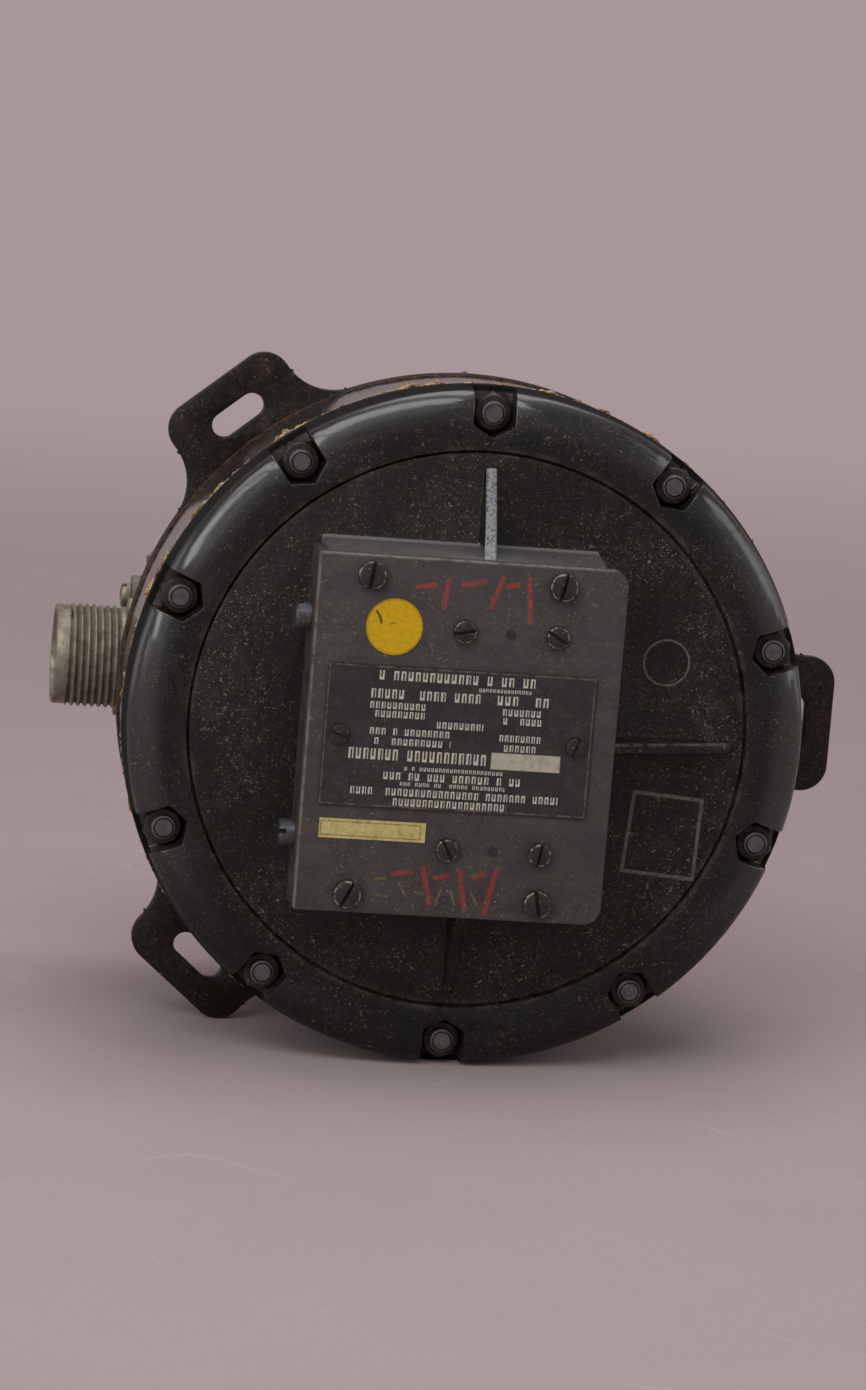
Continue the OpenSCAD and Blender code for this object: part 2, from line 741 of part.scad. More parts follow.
module shaft_bushes() {
    color([0.66, 0.52, 0.28]) in_case() for (y = shaft_rows) along_shaft(y) difference() {
        translate([0, 0, box_left]) union() {
            cylinder(r = bush_r, h = side_plate_t + 2);
            translate([0, 0, side_plate_t]) cylinder(r = bush_r + 0.8, h = 1);
        }
        translate([0, 0, box_left - CUT]) cylinder(r = shaft_d / 2 + run_gap, h = side_plate_t + 4);
    }
}

// Four bearing blocks: one on each side of the magnet gears of each adjusting shaft
module shaft_bearings() {
    color([0.70, 0.55, 0.30]) in_case() for (s = [-1, 1], y = shaft_rows) difference() {
        translate([gear_x + s * bearing_reach - bearing_size.x / 2, y - bearing_size.y / 2, face])
            cube([bearing_size.x, bearing_size.y, wall_h]);
        along_shaft(y) translate([0, 0, gear_x + s * bearing_reach - bearing_size.x])
            cylinder(r = shaft_d / 2 + run_gap, h = 2 * bearing_size.x);
        translate([gear_x + s * bearing_reach, y, wall_top - bearing_grip - 0.4])
            cylinder(r = bearing_screw_r + 0.05, h = bearing_grip + 0.4 + CUT);
    }
}

// Adjusting shaft with its slotted head outside the side plate and a thrust collar inside
module adjusting_shaft(y, slot_turn) {
    head_x = box_left - gear_float - head_len;
    collar_x = box_left + side_plate_t + 2 + gear_float;
    end_x = gear_x + bearing_reach + bearing_size.x / 2 + 1;
    color([0.46, 0.46, 0.47]) in_case() along_shaft(y) difference() {
        union() {
            translate([0, 0, head_x]) cylinder(r1 = head_d / 2 - 0.4, r2 = head_d / 2, h = 0.4);
            translate([0, 0, head_x + 0.4]) cylinder(r = head_d / 2, h = head_len - 0.4);
            translate([0, 0, head_x + 0.4]) cylinder(r = shaft_d / 2, h = end_x - head_x - 0.4);
            translate([0, 0, collar_x]) cylinder(r = shaft_d / 2 + 1, h = 1.2);
        }
        rotate([0, 0, slot_turn]) translate([-head_d, -0.4, head_x - CUT])
            cube([2 * head_d, 0.8, CUT + 1.2]);
    }
}
module ns_adjusting_shaft() { adjusting_shaft(ns_y, 20); }
module ew_adjusting_shaft() { adjusting_shaft(-ew_y, 75); }

function polar(r, half, a) = r * [cos(a), sin(a)] + half * [-sin(a), cos(a)];

// Straight-flanked teeth round a circle, thick at the root and narrow at the tip
function pinion_points() = [for (i = [0:pinion_teeth - 1]) let (a = 90 + i * 360 / pinion_teeth)
    each [polar(pinion_root_r, -0.2 * tooth_pitch, a), polar(pinion_tip_r, -0.1 * tooth_pitch, a),
          polar(pinion_tip_r, 0.1 * tooth_pitch, a), polar(pinion_root_r, 0.2 * tooth_pitch, a)]];

module pinion(y) {
    color([0.74, 0.58, 0.30]) in_case() along_shaft(y) translate([0, 0, pinion_x - crown_face / 2])
        difference() {
            linear_extrude(crown_face) polygon(pinion_points());
            translate([0, 0, -CUT]) cylinder(r = shaft_d / 2, h = crown_face + 2 * CUT);
        }
}
module ns_pinion() { pinion(ns_y); }
module ew_pinion() { pinion(-ew_y); }

// Crown gear about its own spindle: teeth towards +z from z = crown tip, disc behind them
module crown_gear_blank() {
    difference() {
        union() {
            translate([0, 0, crown_root]) cylinder(r = crown_r, h = crown_disc_t);
            intersection() {
                ring(crown_pitch_r + 0.75, crown_pitch_r - 0.75, crown_tip, crown_root - crown_tip + 0.1);
                for (i = [0:crown_teeth - 1]) rotate([0, 0, 180 + (i + 0.5) * 360 / crown_teeth])
                    translate([0, 0, crown_tip]) linear_extrude(crown_root - crown_tip + 0.1)
                        polygon([[0, 0], [2 * crown_pitch_r, -2 * crown_half], [2 * crown_pitch_r,
                            2 * crown_half]]);
            }
        }
        translate([0, 0, crown_root - CUT]) cylinder(r = spindle_r + run_gap, h = crown_disc_t + 2 * CUT);
        for (s = [-1, 1]) translate([-magnet_len / 2, s * magnet_reach - magnet_t / 2,
            gear_back - magnet_t])
            cube([magnet_len, magnet_t, magnet_t + CUT]);
    }
}

// Places a gear in front of its shaft (side = 1) or behind it (side = -1)
module at_gear(y, side) {
    translate([gear_x, y, shaft_z]) rotate([side > 0 ? 0 : 180, 0, 0]) children();
}

module magnet_gear(y, side) {
    color([0.72, 0.56, 0.28]) in_case() at_gear(y, side) crown_gear_blank();
}
module ns_front_gear() { magnet_gear(ns_y, 1); }
module ns_rear_gear() { magnet_gear(ns_y, -1); }
module ew_front_gear() { magnet_gear(-ew_y, 1); }
module ew_rear_gear() { magnet_gear(-ew_y, -1); }

module bar_magnets(y, side) {
    color([0.35, 0.36, 0.40]) in_case() at_gear(y, side)
        for (s = [-1, 1]) translate([-magnet_len / 2, s * magnet_reach - magnet_t / 2,
            gear_back - magnet_t])
            cube([magnet_len, magnet_t, magnet_t]);
}
module ns_front_magnets() { bar_magnets(ns_y, 1); }
module ns_rear_magnets() { bar_magnets(ns_y, -1); }
module ew_front_magnets() { bar_magnets(-ew_y, 1); }
module ew_rear_magnets() { bar_magnets(-ew_y, -1); }

// Pins that the gears turn on: the front ones are riveted in the box cover, the rear ones in the disc
module gear_spindles() {
    reach = crown_root - 0.6;
    color([0.60, 0.60, 0.58]) in_case() for (y = shaft_rows) {
        translate([gear_x, y, shaft_z + reach])
            cylinder(r = spindle_r, h = box_top + 0.2 - shaft_z - reach);
        translate([gear_x, y, face - disc_t + 1.5])
            cylinder(r = spindle_r, h = shaft_z - reach - face + disc_t - 1.5);
    }
}

module gear_washers() {
    color([0.62, 0.50, 0.28]) in_case() for (y = shaft_rows) translate([gear_x, y, 0])
        ring(gear_washer_r, spindle_r + run_gap, shaft_z + gear_back + gear_float,
             box_plate_z - shaft_z - gear_back - gear_float);
}

module corner_box_screws() {
    turns = [64, 82, 100, 78];
    color([0.22, 0.21, 0.20]) in_case() for (i = [0:3])
        translate([corner_screws[i].x, corner_screws[i].y, box_top])
        screw(corner_screw_r, box_gasket_t + box_plate_t + corner_grip, corner_head_r, corner_head_h,
            turns[i]);
}

module bearing_screws() {
    turns = [12, 150, 118, 80];
    color([0.24, 0.23, 0.22]) in_case() for (i = [0:3])
        let (s = i % 2 == 0 ? -1 : 1, y = shaft_rows[floor(i / 2)])
        translate([gear_x + s * bearing_reach, y, box_top])
            screw(bearing_screw_r, box_gasket_t + box_plate_t + bearing_grip, bearing_head_r,
                bearing_head_h, turns[i]);
}

module data_plate() {
    color([0.08, 0.08, 0.08]) in_case() translate([0, 0, box_top]) linear_extrude(data_t) difference() {
        plate_outline(data_x - data_w / 2, data_x + data_w / 2, box_y - data_h / 2,
            box_y + data_h / 2, 0.5, 0.5);
        for (s = [-1, 1]) translate([data_x + s * data_screws / 2, box_y]) circle(r = data_screw_r + FIT);
    }
}

module data_plate_screws() {
    color([0.28, 0.27, 0.26]) in_case() for (s = [-1, 1])
        translate([data_x + s * data_screws / 2, box_y, box_top + data_t])
            screw(data_screw_r - 0.03, data_t + box_plate_t - 0.2, data_head_r, data_head_h, 25 + 45 * s);
}

module round_sticker() {
    color([0.86, 0.66, 0.05]) in_case() translate([gear_x - 20.1, ns_y, box_top])
        cylinder(r = dot_d / 2, h = paper_t);
}

module paper_strip() {
    color([0.78, 0.70, 0.48]) in_case()
        translate([data_x - data_w / 2 + 0.6, box_y - data_h / 2 - 2.4 - strip_h, box_top])
        cube([strip_w, strip_h, paper_t]);
}

// Square flange with round corners, centred on the connector's axis
module flange_outline() {
    plate_outline(-flange_w / 2, flange_w / 2, -flange_w / 2, flange_w / 2, flange_corner_r,
        flange_corner_r);
}

module at_flange_screws() {
    for (sx = [-1, 1], sy = [-1, 1]) translate([sx * flange_screws / 2, sy * flange_screws / 2])
        children();
}

module connector_gasket() {
    color([0.12, 0.12, 0.12]) in_case() along_connector() translate([0, 0, boss_reach])
        linear_extrude(flange_gasket_t) difference() {
            flange_outline();
            circle(r = tail_r + FIT);
            at_flange_screws() circle(r = flange_screw_r + FIT);
        }
}

module connector_shell() {
    color([0.55, 0.54, 0.47]) in_case() along_connector() difference() {
        union() {
            translate([0, 0, gasket_face]) linear_extrude(flange_t) flange_outline();
            translate([0, 0, flange_face - 0.01]) cylinder(r = barrel_r, h = barrel_len - lip_len + 0.01);
            translate([0, 0, mouth - lip_len]) cylinder(r = lip_r, h = lip_len);
            translate([0, 0, tail_end]) cylinder(r = tail_r, h = gasket_face - tail_end + 0.01);
        }
        translate([0, 0, tail_end - CUT]) cylinder(r = barrel_bore, h = mouth - tail_end + 2 * CUT);
        translate([0, 0, gasket_face - CUT]) linear_extrude(flange_t + 2 * CUT)
            at_flange_screws() circle(r = flange_screw_r + FIT);
    }
}

module connector_insert() {
    color([0.32, 0.20, 0.12]) in_case() along_connector() difference() {
        translate([0, 0, tail_end]) cylinder(r = barrel_bore - 0.03, h = mouth - socket_depth - tail_end);
        for (p = contacts) translate([p.x, p.y, tail_end - CUT]) cylinder(r = contact_d / 2, h = mouth);
    }
}

module connector_contacts() {
    color([0.80, 0.68, 0.36]) in_case() along_connector() for (p = contacts)
        translate([p.x, p.y, tail_end - 2]) {
        cylinder(r = contact_d / 2, h = mouth - contact_recess - 0.5 - tail_end + 2);
        translate([0, 0, mouth - contact_recess - 0.5 - tail_end + 2])
            cylinder(r1 = contact_d / 2, r2 = contact_d / 4, h = 0.5);
    }
}

module connector_screws() {
    color([0.40, 0.39, 0.35]) in_case() along_connector() translate([0, 0, flange_face])
        at_flange_screws()
        screw(flange_screw_r, flange_t + flange_gasket_t + flange_grip, flange_head_r, flange_head_h, 30);
}

// Section of the bowl: flange, wall, floor, ledge and ring wall of the expansion chamber
module bowl_section() {
    translate([bowl_bore, -bowl_flange_t]) square([bowl_flange_r - bowl_bore, bowl_flange_t]);
    translate([bowl_bore, -bowl_depth]) square([bowl_wall - bowl_round, bowl_depth]);
    translate([bowl_bore, -bowl_depth + bowl_round]) square([bowl_wall, bowl_depth - bowl_round]);
    intersection() {
        translate([bowl_r - bowl_round, -bowl_depth + bowl_round]) circle(r = bowl_round);
        translate([bowl_bore, -bowl_depth]) square([bowl_wall, bowl_depth]);
    }
    translate([0, chamber_z]) square([bowl_bore + 0.01, floor_t]);
    translate([diaphragm_r - ledge_w, ledge_z]) square([ledge_w + chamber_wall, chamber_depth + 0.01]);
    translate([diaphragm_r, -bowl_depth]) square([chamber_wall, bowl_depth + chamber_z + 0.01]);
}

module at_rear_screws() {
    for (i = [0:rear_screw_n - 1]) rotate([0, 0, 30 + i * 360 / rear_screw_n])
        translate([diaphragm_r - ledge_w / 2, 0]) children();
}

module bowl() {
    boss_w = flange_w + 0.4;
    color([0.12, 0.11, 0.11]) in_case() difference() {
        union() {
            rotate_extrude($fn = 144) bowl_section();
            // flat boss that the connector's flange seats on
            difference() {
                along_connector() translate([-boss_w / 2, -boss_w / 2, bowl_bore * 0.9])
                    cube([boss_w, boss_w, boss_reach - bowl_bore * 0.9]);
                translate([0, 0, -bowl_depth]) cylinder(r = bowl_bore, h = bowl_depth);
            }
            // boss round the filler plug
            translate([0, filler_r, chamber_z - 3]) cylinder(r = 3.6, h = 3.1);
        }
        at_studs(-bowl_flange_t - CUT) cylinder(r = stud_hole_r, h = bowl_flange_t + 2 * CUT);
        along_connector() {
            translate([0, 0, bowl_bore - 6]) cylinder(r = tail_r + FIT, h = 12);
            translate([0, 0, boss_reach - flange_grip - 0.4]) linear_extrude(flange_grip + 0.4 + CUT)
                at_flange_screws() circle(r = flange_screw_r + 0.05);
        }
        for (i = [0:port_n - 1]) rotate([0, 0, 45 + i * 360 / port_n])
            translate([diaphragm_r - ledge_w - 1.6, 0, chamber_z - CUT])
                cylinder(r = port_r, h = floor_t + 2 * CUT);
        translate([0, 0, ledge_z - CUT]) linear_extrude(CUT + rear_grip + 0.4) at_rear_screws()
            circle(r = rear_screw_r + 0.05);
        translate([0, filler_r, chamber_z - 3 - CUT]) cylinder(r = filler_plug_r, h = floor_t + 3 + 2 * CUT);
        for (i = [0:2]) rotate([0, 0, 90 + i * 120])
            translate([stator_screw_ring_r, 0, floor_z - stator_grip - 0.4])
                cylinder(r = stator_screw_r + 0.05, h = stator_grip + 0.4 + CUT);
    }
}

// Corrugated diaphragm: a sine wave inside its flat clamped rim
module diaphragm() {
    wave_r = diaphragm_r - ledge_w - 0.6;
    edge_r = diaphragm_r - ledge_w / 2 - 1.4;
    steps = 12 * wave_n;
    function wave(i) = wave_h / 2 * sin(360 * wave_n * i / steps);
    color([0.66, 0.60, 0.44]) in_case() rotate_extrude() polygon(concat(
        [for (i = [0:steps]) [wave_r * i / steps, ledge_z + wave(i)]],
        [[edge_r, ledge_z], [edge_r, ledge_z - diaphragm_t]],
        [for (i = [steps:-1:0]) [wave_r * i / steps, ledge_z - diaphragm_t + wave(i)]]));
}

module clamp_ring() {
    color([0.52, 0.51, 0.48]) in_case() difference() {
        ring(diaphragm_r - FIT, diaphragm_r - ledge_w, clamp_z, clamp_ring_t);
        translate([0, 0, clamp_z - CUT]) linear_extrude(clamp_ring_t + 2 * CUT) at_rear_screws()
            circle(r = rear_screw_r + FIT);
    }
}

module rear_cover() {
    color([0.20, 0.20, 0.20]) in_case() difference() {
        translate([0, 0, rear_cover_z]) cylinder(r = diaphragm_r - FIT, h = rear_cover_t);
        translate([0, 0, rear_cover_z - CUT]) linear_extrude(rear_cover_t + 2 * CUT) {
            at_rear_screws() circle(r = rear_screw_r + FIT);
            circle(r = 1.5);
        }
    }
}

module rear_cover_screws() {
    color([0.40, 0.39, 0.37]) in_case() translate([0, 0, rear_cover_z]) at_rear_screws() mirror([0, 0, 1])
        screw(rear_screw_r, rear_cover_t + clamp_ring_t + diaphragm_t + rear_grip, rear_head_r, rear_head_h,
            15);
}

module filler_plug() {
    color([0.60, 0.50, 0.30]) in_case() translate([0, filler_r, chamber_z - 3]) {
        translate([0, 0, -0.6 - 2.2]) cylinder(r = 3.2, h = 2.2, $fn = 6);
        translate([0, 0, -0.7]) cylinder(r = filler_plug_r - 0.05, h = 3 + floor_t);
    }
}

module filler_washer() {
    color([0.55, 0.30, 0.18]) in_case() translate([0, filler_r, 0])
        ring(3, filler_plug_r, chamber_z - 3.6, 0.6);
}

// Baffle above the float, with a stop that keeps the float on its pivot upside down
module baffle() {
    color([0.50, 0.50, 0.50]) in_case() {
        difference() {
            translate([0, 0, baffle_z]) cylinder(r = ring_bore - FIT, h = baffle_t);
            for (i = [0:baffle_holes - 1]) rotate([0, 0, i * 360 / baffle_holes])
                translate([baffle_hole_ring_r, 0, baffle_z - CUT])
                    cylinder(r = 2, h = baffle_t + 2 * CUT);
        }
        translate([0, 0, float_top + stop_gap])
            cylinder(r = 2.4, h = baffle_z - float_top - stop_gap + 0.1);
    }
}

module stator_cup() {
    color([0.62, 0.62, 0.62]) in_case() difference() {
        translate([0, 0, floor_z]) cylinder(r = cup_r, h = cup_h);
        translate([0, 0, floor_z + cup_base_t]) cylinder(r = cup_r - cup_wall, h = cup_h);
        translate([0, 0, floor_z - CUT]) cylinder(r = post_r + 0.8, h = cup_base_t + 2 * CUT);
        for (i = [0:2]) rotate([0, 0, 90 + i * 120])
            translate([stator_screw_ring_r, 0, floor_z - CUT])
                cylinder(r = stator_screw_r + 0.2, h = cup_base_t + 2 * CUT);
    }
}

module stator_screws() {
    color([0.45, 0.45, 0.44]) in_case() for (i = [0:2]) rotate([0, 0, 90 + i * 120])
        translate([stator_screw_ring_r, 0, floor_z + cup_base_t])
        screw(stator_screw_r, cup_base_t + stator_grip, stator_head_r, stator_head_h, 20);
}

// Rings below and above the winding
module winding_rings() {
    color([0.42, 0.26, 0.15]) in_case() {
        ring(winding_r, winding_bore_r, floor_z + cup_base_t, winding_z - floor_z - cup_base_t);
        ring(winding_r, winding_bore_r, winding_top, hold_ring_t);
    }
}

module stator_winding() {
    color([0.55, 0.28, 0.12]) in_case() difference() {
        ring(winding_r, winding_bore_r, winding_z, winding_h);
        ring(winding_r - winding_t, winding_bore_r + winding_t, winding_z + winding_t, winding_h);
    }
}

module stator_core() {
    color([0.50, 0.50, 0.54]) in_case()
        ring(winding_r - winding_t - FIT, winding_bore_r + winding_t + FIT, winding_z + winding_t,
            winding_h - winding_t);
}

module terminal_block() {
    reach = cup_r + terminal_reach;
    color([0.36, 0.22, 0.12]) in_case() difference() {
        along_connector() translate([-7, -9, cup_r - 3]) cube([14, 18, terminal_reach + 3]);
        translate([0, 0, floor_z - CUT]) cylinder(r = cup_r + 0.02, h = cup_h + 2 * CUT);
        along_connector() for (p = contacts) translate([p.x, p.y, reach - 3])
            cylinder(r = lead_r, h = 3 + CUT);
    }
}

module leads() {
    reach = cup_r + terminal_reach;
    color([0.70, 0.66, 0.55]) in_case() along_connector() for (p = contacts)
        translate([p.x, p.y, reach - 3]) cylinder(r = lead_r, h = tail_end - 2 - reach + 3);
}

module pivot_post() {
    tip = jewel_z - jewel_gap;
    color([0.66, 0.66, 0.66]) in_case() {
        translate([0, 0, floor_z]) cylinder(r = post_r + 0.78, h = cup_base_t);
        translate([0, 0, floor_z + cup_base_t]) cylinder(r = post_r + 1.6, h = 1.2);
        translate([0, 0, floor_z]) cylinder(r = post_r, h = tip - 2 - floor_z);
        translate([0, 0, tip - 2]) cylinder(r1 = post_r, r2 = 0.2, h = 2);
    }
}

// Section of the float's outer shape between its hub and its rim
module float_section(inset) {
    intersection() {
        translate([0, float_z + inset]) square([float_r - inset, float_h - 2 * inset]);
        translate([float_r - float_h / 2 - 2, float_mid]) circle(r = float_h / 2 + 2 - inset);
    }
    translate([0, float_z + inset]) square([float_r - float_h / 2 - 2, float_h - 2 * inset]);
}

module float_lower() {
    color([0.72, 0.60, 0.36]) in_case() rotate_extrude() difference() {
        union() {
            difference() {
                float_section(0);
                float_section(float_wall);
            }
            translate([stem_r, float_z]) square([hub_r - stem_r, float_h / 2 + 2]);
        }
        translate([0, float_mid]) square([float_r + CUT, float_h]);
        translate([0, float_z - CUT]) square([stem_r + 0.01, float_h]);
    }
}

module float_upper() {
    color([0.74, 0.62, 0.38]) in_case() rotate_extrude() difference() {
        union() {
            difference() {
                float_section(0);
                float_section(float_wall);
            }
            translate([0, float_top - 2]) square([hub_r, 2]);
            translate([stem_r, float_mid]) square([hub_r - stem_r, float_h / 2 - 1]);
        }
        translate([0, float_z - CUT]) square([float_r + CUT, float_h / 2 + CUT]);
        translate([0, float_mid - CUT]) square([stem_r + 0.01, float_top - 1.5 - float_mid + CUT]);
    }
}

module float_stem() {
    color([0.70, 0.58, 0.34]) in_case() difference() {
        union() {
            ring(stem_r, stem_bore_r, rotor_z - 1, float_top - 1.5 - rotor_z + 1);
            ring(stem_r + 1.2, stem_bore_r, rotor_z - 1, 1);
        }
        translate([0, 0, jewel_z]) cylinder(r = jewel_r + 0.4, h = 3);
    }
}

module jewel() {
    color([0.62, 0.10, 0.14]) in_case() difference() {
        translate([0, 0, jewel_z - 1]) cylinder(r = stem_bore_r, h = 2.4);
        translate([0, 0, jewel_z - 1.01]) cylinder(r1 = 1.2, r2 = 0.3, h = 1.01);
    }
}

module rotor_magnet() {
    color([0.33, 0.34, 0.38]) in_case() ring(rotor_r, stem_r, rotor_z, rotor_h);
}

front_cover();
cover_cork();
case_ring();
plate_cork();
mounting_plate();
bowl();
case_studs();
cap_nuts();
rear_nuts();
stud_washers();
box_gasket();
box_cover();
side_plate();
shaft_bushes();
shaft_bearings();
ns_adjusting_shaft();
ew_adjusting_shaft();
ns_pinion();
ew_pinion();
ns_front_gear();
ns_rear_gear();
ew_front_gear();
ew_rear_gear();
ns_front_magnets();
ns_rear_magnets();
ew_front_magnets();
ew_rear_magnets();
gear_spindles();
gear_washers();
corner_box_screws();
bearing_screws();
data_plate();
data_plate_screws();
round_sticker();
paper_strip();
connector_gasket();
connector_shell();
connector_insert();
connector_contacts();
connector_screws();
diaphragm();
clamp_ring();
rear_cover();
rear_cover_screws();
filler_plug();
filler_washer();
baffle();
stator_cup();
stator_screws();
winding_rings();
stator_winding();
stator_core();
terminal_block();
leads();
pivot_post();
float_lower();
float_upper();
float_stem();
jewel();
rotor_magnet();
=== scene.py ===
"""Looks of a magnetic heading transmitter: finishes of its solids, modelled pieces and a photo stage."""
import json
import math

import bmesh
import bpy
from bpy.props import FloatProperty, FloatVectorProperty, PointerProperty
from mathutils import Matrix, Vector


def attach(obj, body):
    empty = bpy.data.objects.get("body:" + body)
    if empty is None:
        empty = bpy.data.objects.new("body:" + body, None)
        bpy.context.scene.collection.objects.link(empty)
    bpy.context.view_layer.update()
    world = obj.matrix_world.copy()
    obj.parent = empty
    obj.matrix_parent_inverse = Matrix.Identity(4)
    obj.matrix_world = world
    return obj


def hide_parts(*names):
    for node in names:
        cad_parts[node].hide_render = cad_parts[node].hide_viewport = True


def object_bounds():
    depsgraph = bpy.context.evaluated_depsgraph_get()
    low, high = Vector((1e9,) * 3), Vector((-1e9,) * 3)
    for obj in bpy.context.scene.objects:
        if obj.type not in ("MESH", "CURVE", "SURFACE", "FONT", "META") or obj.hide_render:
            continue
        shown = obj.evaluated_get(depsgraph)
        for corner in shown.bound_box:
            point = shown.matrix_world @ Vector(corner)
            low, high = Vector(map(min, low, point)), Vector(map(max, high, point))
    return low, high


bl_info = {
    "name": "Magnetic heading transmitter",
    "version": (1, 0, 0),
    "blender": (4, 5, 0),
    "location": "3D View > Sidebar > Transmitter",
    "description": "Finishes, detailed pieces and a photo stage for the heading transmitter",
    "category": "Object",
}

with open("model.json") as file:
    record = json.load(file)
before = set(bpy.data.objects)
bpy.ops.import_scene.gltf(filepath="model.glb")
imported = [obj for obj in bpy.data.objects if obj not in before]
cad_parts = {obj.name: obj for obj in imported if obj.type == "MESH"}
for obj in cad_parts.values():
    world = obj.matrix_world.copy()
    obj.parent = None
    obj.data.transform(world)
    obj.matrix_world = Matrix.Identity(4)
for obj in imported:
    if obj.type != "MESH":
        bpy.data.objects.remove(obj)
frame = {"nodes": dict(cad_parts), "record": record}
CAD_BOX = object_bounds()
NODES = frame["nodes"]
MM = 0.001
# Points closer than this, in metres, are merged
SAME_SPOT = 1e-6
# Places this near, in metres, count as the same
NEAR = 1e-5
# An edge that turns more than this, in degrees, is rounded
SHARP = 35


def turned(degrees, axis="Z"):
    return Matrix.Rotation(math.radians(degrees), 4, axis)


def shifted(x, y, z):
    """A move in millimetres."""
    return Matrix.Translation(Vector((x, y, z)) * MM)


# The case leans on its lower lug: the right slot's mount gives the lean
RIGHT_SLOT = next(m for m in frame["record"]["mounts"] if m["name"] == "right_lug_slot")["pos_m"]
ROLL = math.atan2(-RIGHT_SLOT[2], RIGHT_SLOT[0])
# Case drawing (x right, y up, z to the viewer) to the frame
CASE = turned(90, "X") @ Matrix.Rotation(-ROLL, 4, "Z")
FLOOR_Z = CAD_BOX[0].z

# Places in the case drawing, in millimetres and degrees
GROOVE_R = 48.9
DISC_Z = 34.5
STUD_R = 55.5
STUD_ANGLES = [18, 54, 90, 126, 158.6, 201.4, 234, 270, 306, 342]
BOX_LEFT, BOX_RIGHT, BOX_LOW, BOX_HIGH = -29.7, 23.7, -30.6, 31.4
LID_BACK, LID_FRONT = 45.9, 47.5
PLATE_X, PLATE_Y = -3.7, 0.4
PLATE_HALF_W, PLATE_HALF_H = 22.9, 12.0
STICKER_X, STICKER_Y = -16.1, 19.3
STRIP_X, STRIP_Y = -17.4, -16.0
SOCKET_Z = -27.5
SOCKET_FACE, SOCKET_MOUTH = 55.2, 69.5
# Socket drawing (z outwards along the socket) to the frame
SOCKET = CASE @ shifted(0, 0, SOCKET_Z) @ turned(-90, "Y") @ turned(180)


# Sizes and colours


def length(name, text, default):
    """A length property in millimetres."""
    return FloatProperty(name=name, description=text, default=default * MM, min=0.0, precision=5,
                         subtype="DISTANCE", unit="LENGTH")


def colour(name, text, red, green, blue):
    """A colour property from 0-255 screen values."""
    return FloatVectorProperty(name=name, description=text, subtype="COLOR", size=3, min=0.0, max=1.0,
                               default=screen(red, green, blue)[:3])


def screen(red, green, blue):
    """Screen values from 0 to 255 as the linear colour that a shader takes."""
    def linear(value):
        value /= 255
        return value / 12.92 if value <= 0.04045 else ((value + 0.055) / 1.055) ** 2.4
    return (linear(red), linear(green), linear(blue), 1.0)


def shade(linear, share=1.0):
    """A linear colour made darker or lighter, as a shader takes it."""
    return (*(value * share for value in linear[:3]), 1.0)


class PieceSizes(bpy.types.PropertyGroup):
    """Sizes of the modelled pieces."""
    cover_edge: length("Cover edge", "Rounding of the moulded cover's edges", 0.3)
    lid_edge: length("Lid edge", "Rounding of the box lid's edges", 0.3)
    plate_edge: length("Plate edge", "Rounding of the mounting plate's edges", 0.3)
    nut_flats: length("Nut across flats", "Size of a cap nut across its flats", 6.35)
    cork_rag: length("Cork rag", "How far the cork's torn edge wanders", 2.4)
    thread_pitch: length("Thread pitch", "Pitch of the socket's thread", 1.27)
    thread_depth: length("Thread depth", "Depth of the socket's thread", 0.6)


class FinishColours(bpy.types.PropertyGroup):
    """Colours of the finishes that show."""
    cover: colour("Cover", "Moulded cover", 27, 21, 20)
    lid: colour("Lid", "Paint of the box lid", 64, 60, 59)
    enamel: colour("Enamel", "Black enamel of case and bowl", 30, 26, 25)
    sticker: colour("Sticker", "Round sticker", 200, 158, 0)
    strip: colour("Strip", "Paper strip", 190, 175, 114)
    shell: colour("Socket shell", "Plated shell of the socket", 138, 131, 118)


class StageSettings(bpy.types.PropertyGroup):
    """Floor, lights and camera."""
    floor: colour("Floor", "Floor round the object", 168, 153, 153)
    backdrop: colour("Backdrop", "Backdrop on every side, and the far floor", 167, 151, 152)
    room: FloatProperty(name="Room", description="Strength of the room's plain light", default=0.19, min=0.0)
    light: FloatProperty(name="Light", description="Power of the main lamp", default=11.6, unit="POWER")
    focal: FloatProperty(name="Focal length", description="Camera's focal length in millimetres",
                         default=119.4, subtype="DISTANCE_CAMERA", unit="CAMERA")
    distance: length("Camera distance", "From the camera to the face's centre", 800)
    floor_radius: length("Floor radius", "How far the round floor reaches", 8000)


# Modelling helpers


def only(*objects):
    """Leaves edit mode and selects these objects alone; the first becomes the active one."""
    if bpy.context.object and bpy.context.object.mode != "OBJECT":
        bpy.ops.object.mode_set(mode="OBJECT")
    bpy.ops.object.select_all(action="DESELECT")
    for item in objects:
        item.select_set(True)
    bpy.context.view_layer.objects.active = objects[0]
    return objects[0]


def edit(obj, mode="FACE", everything=False):
    """Enters edit mode on one object with nothing selected, or everything."""
    only(obj)
    bpy.ops.object.mode_set(mode="EDIT")
    bpy.ops.mesh.select_mode(type=mode)
    bpy.ops.mesh.select_all(action="SELECT" if everything else "DESELECT")


def leave():
    bpy.ops.object.mode_set(mode="OBJECT")


def pick(obj, kind, test):
    """In edit mode, selects what passes a test of its centre and, for a face, its normal, else itself."""
    mesh = bmesh.from_edit_mesh(obj.data)
    for item in getattr(mesh, kind):
        corners = [item] if kind == "verts" else item.verts
        centre = sum((v.co for v in corners), Vector()) / len(corners)
        item.select_set(bool(test(centre, item.normal if kind == "faces" else item)))
    mesh.select_flush_mode()
    bmesh.update_edit_mesh(obj.data)


def stands(edge):
    """Tells if an edge runs along z."""
    first, last = (vertex.co for vertex in edge.verts)
    return math.hypot(first.x - last.x, first.y - last.y) < NEAR


def made(name):
    """Names the object that an operator has just added."""
    obj = bpy.context.object
    obj.name = obj.data.name = name
    only(obj)
    bpy.ops.object.transform_apply()
    return obj


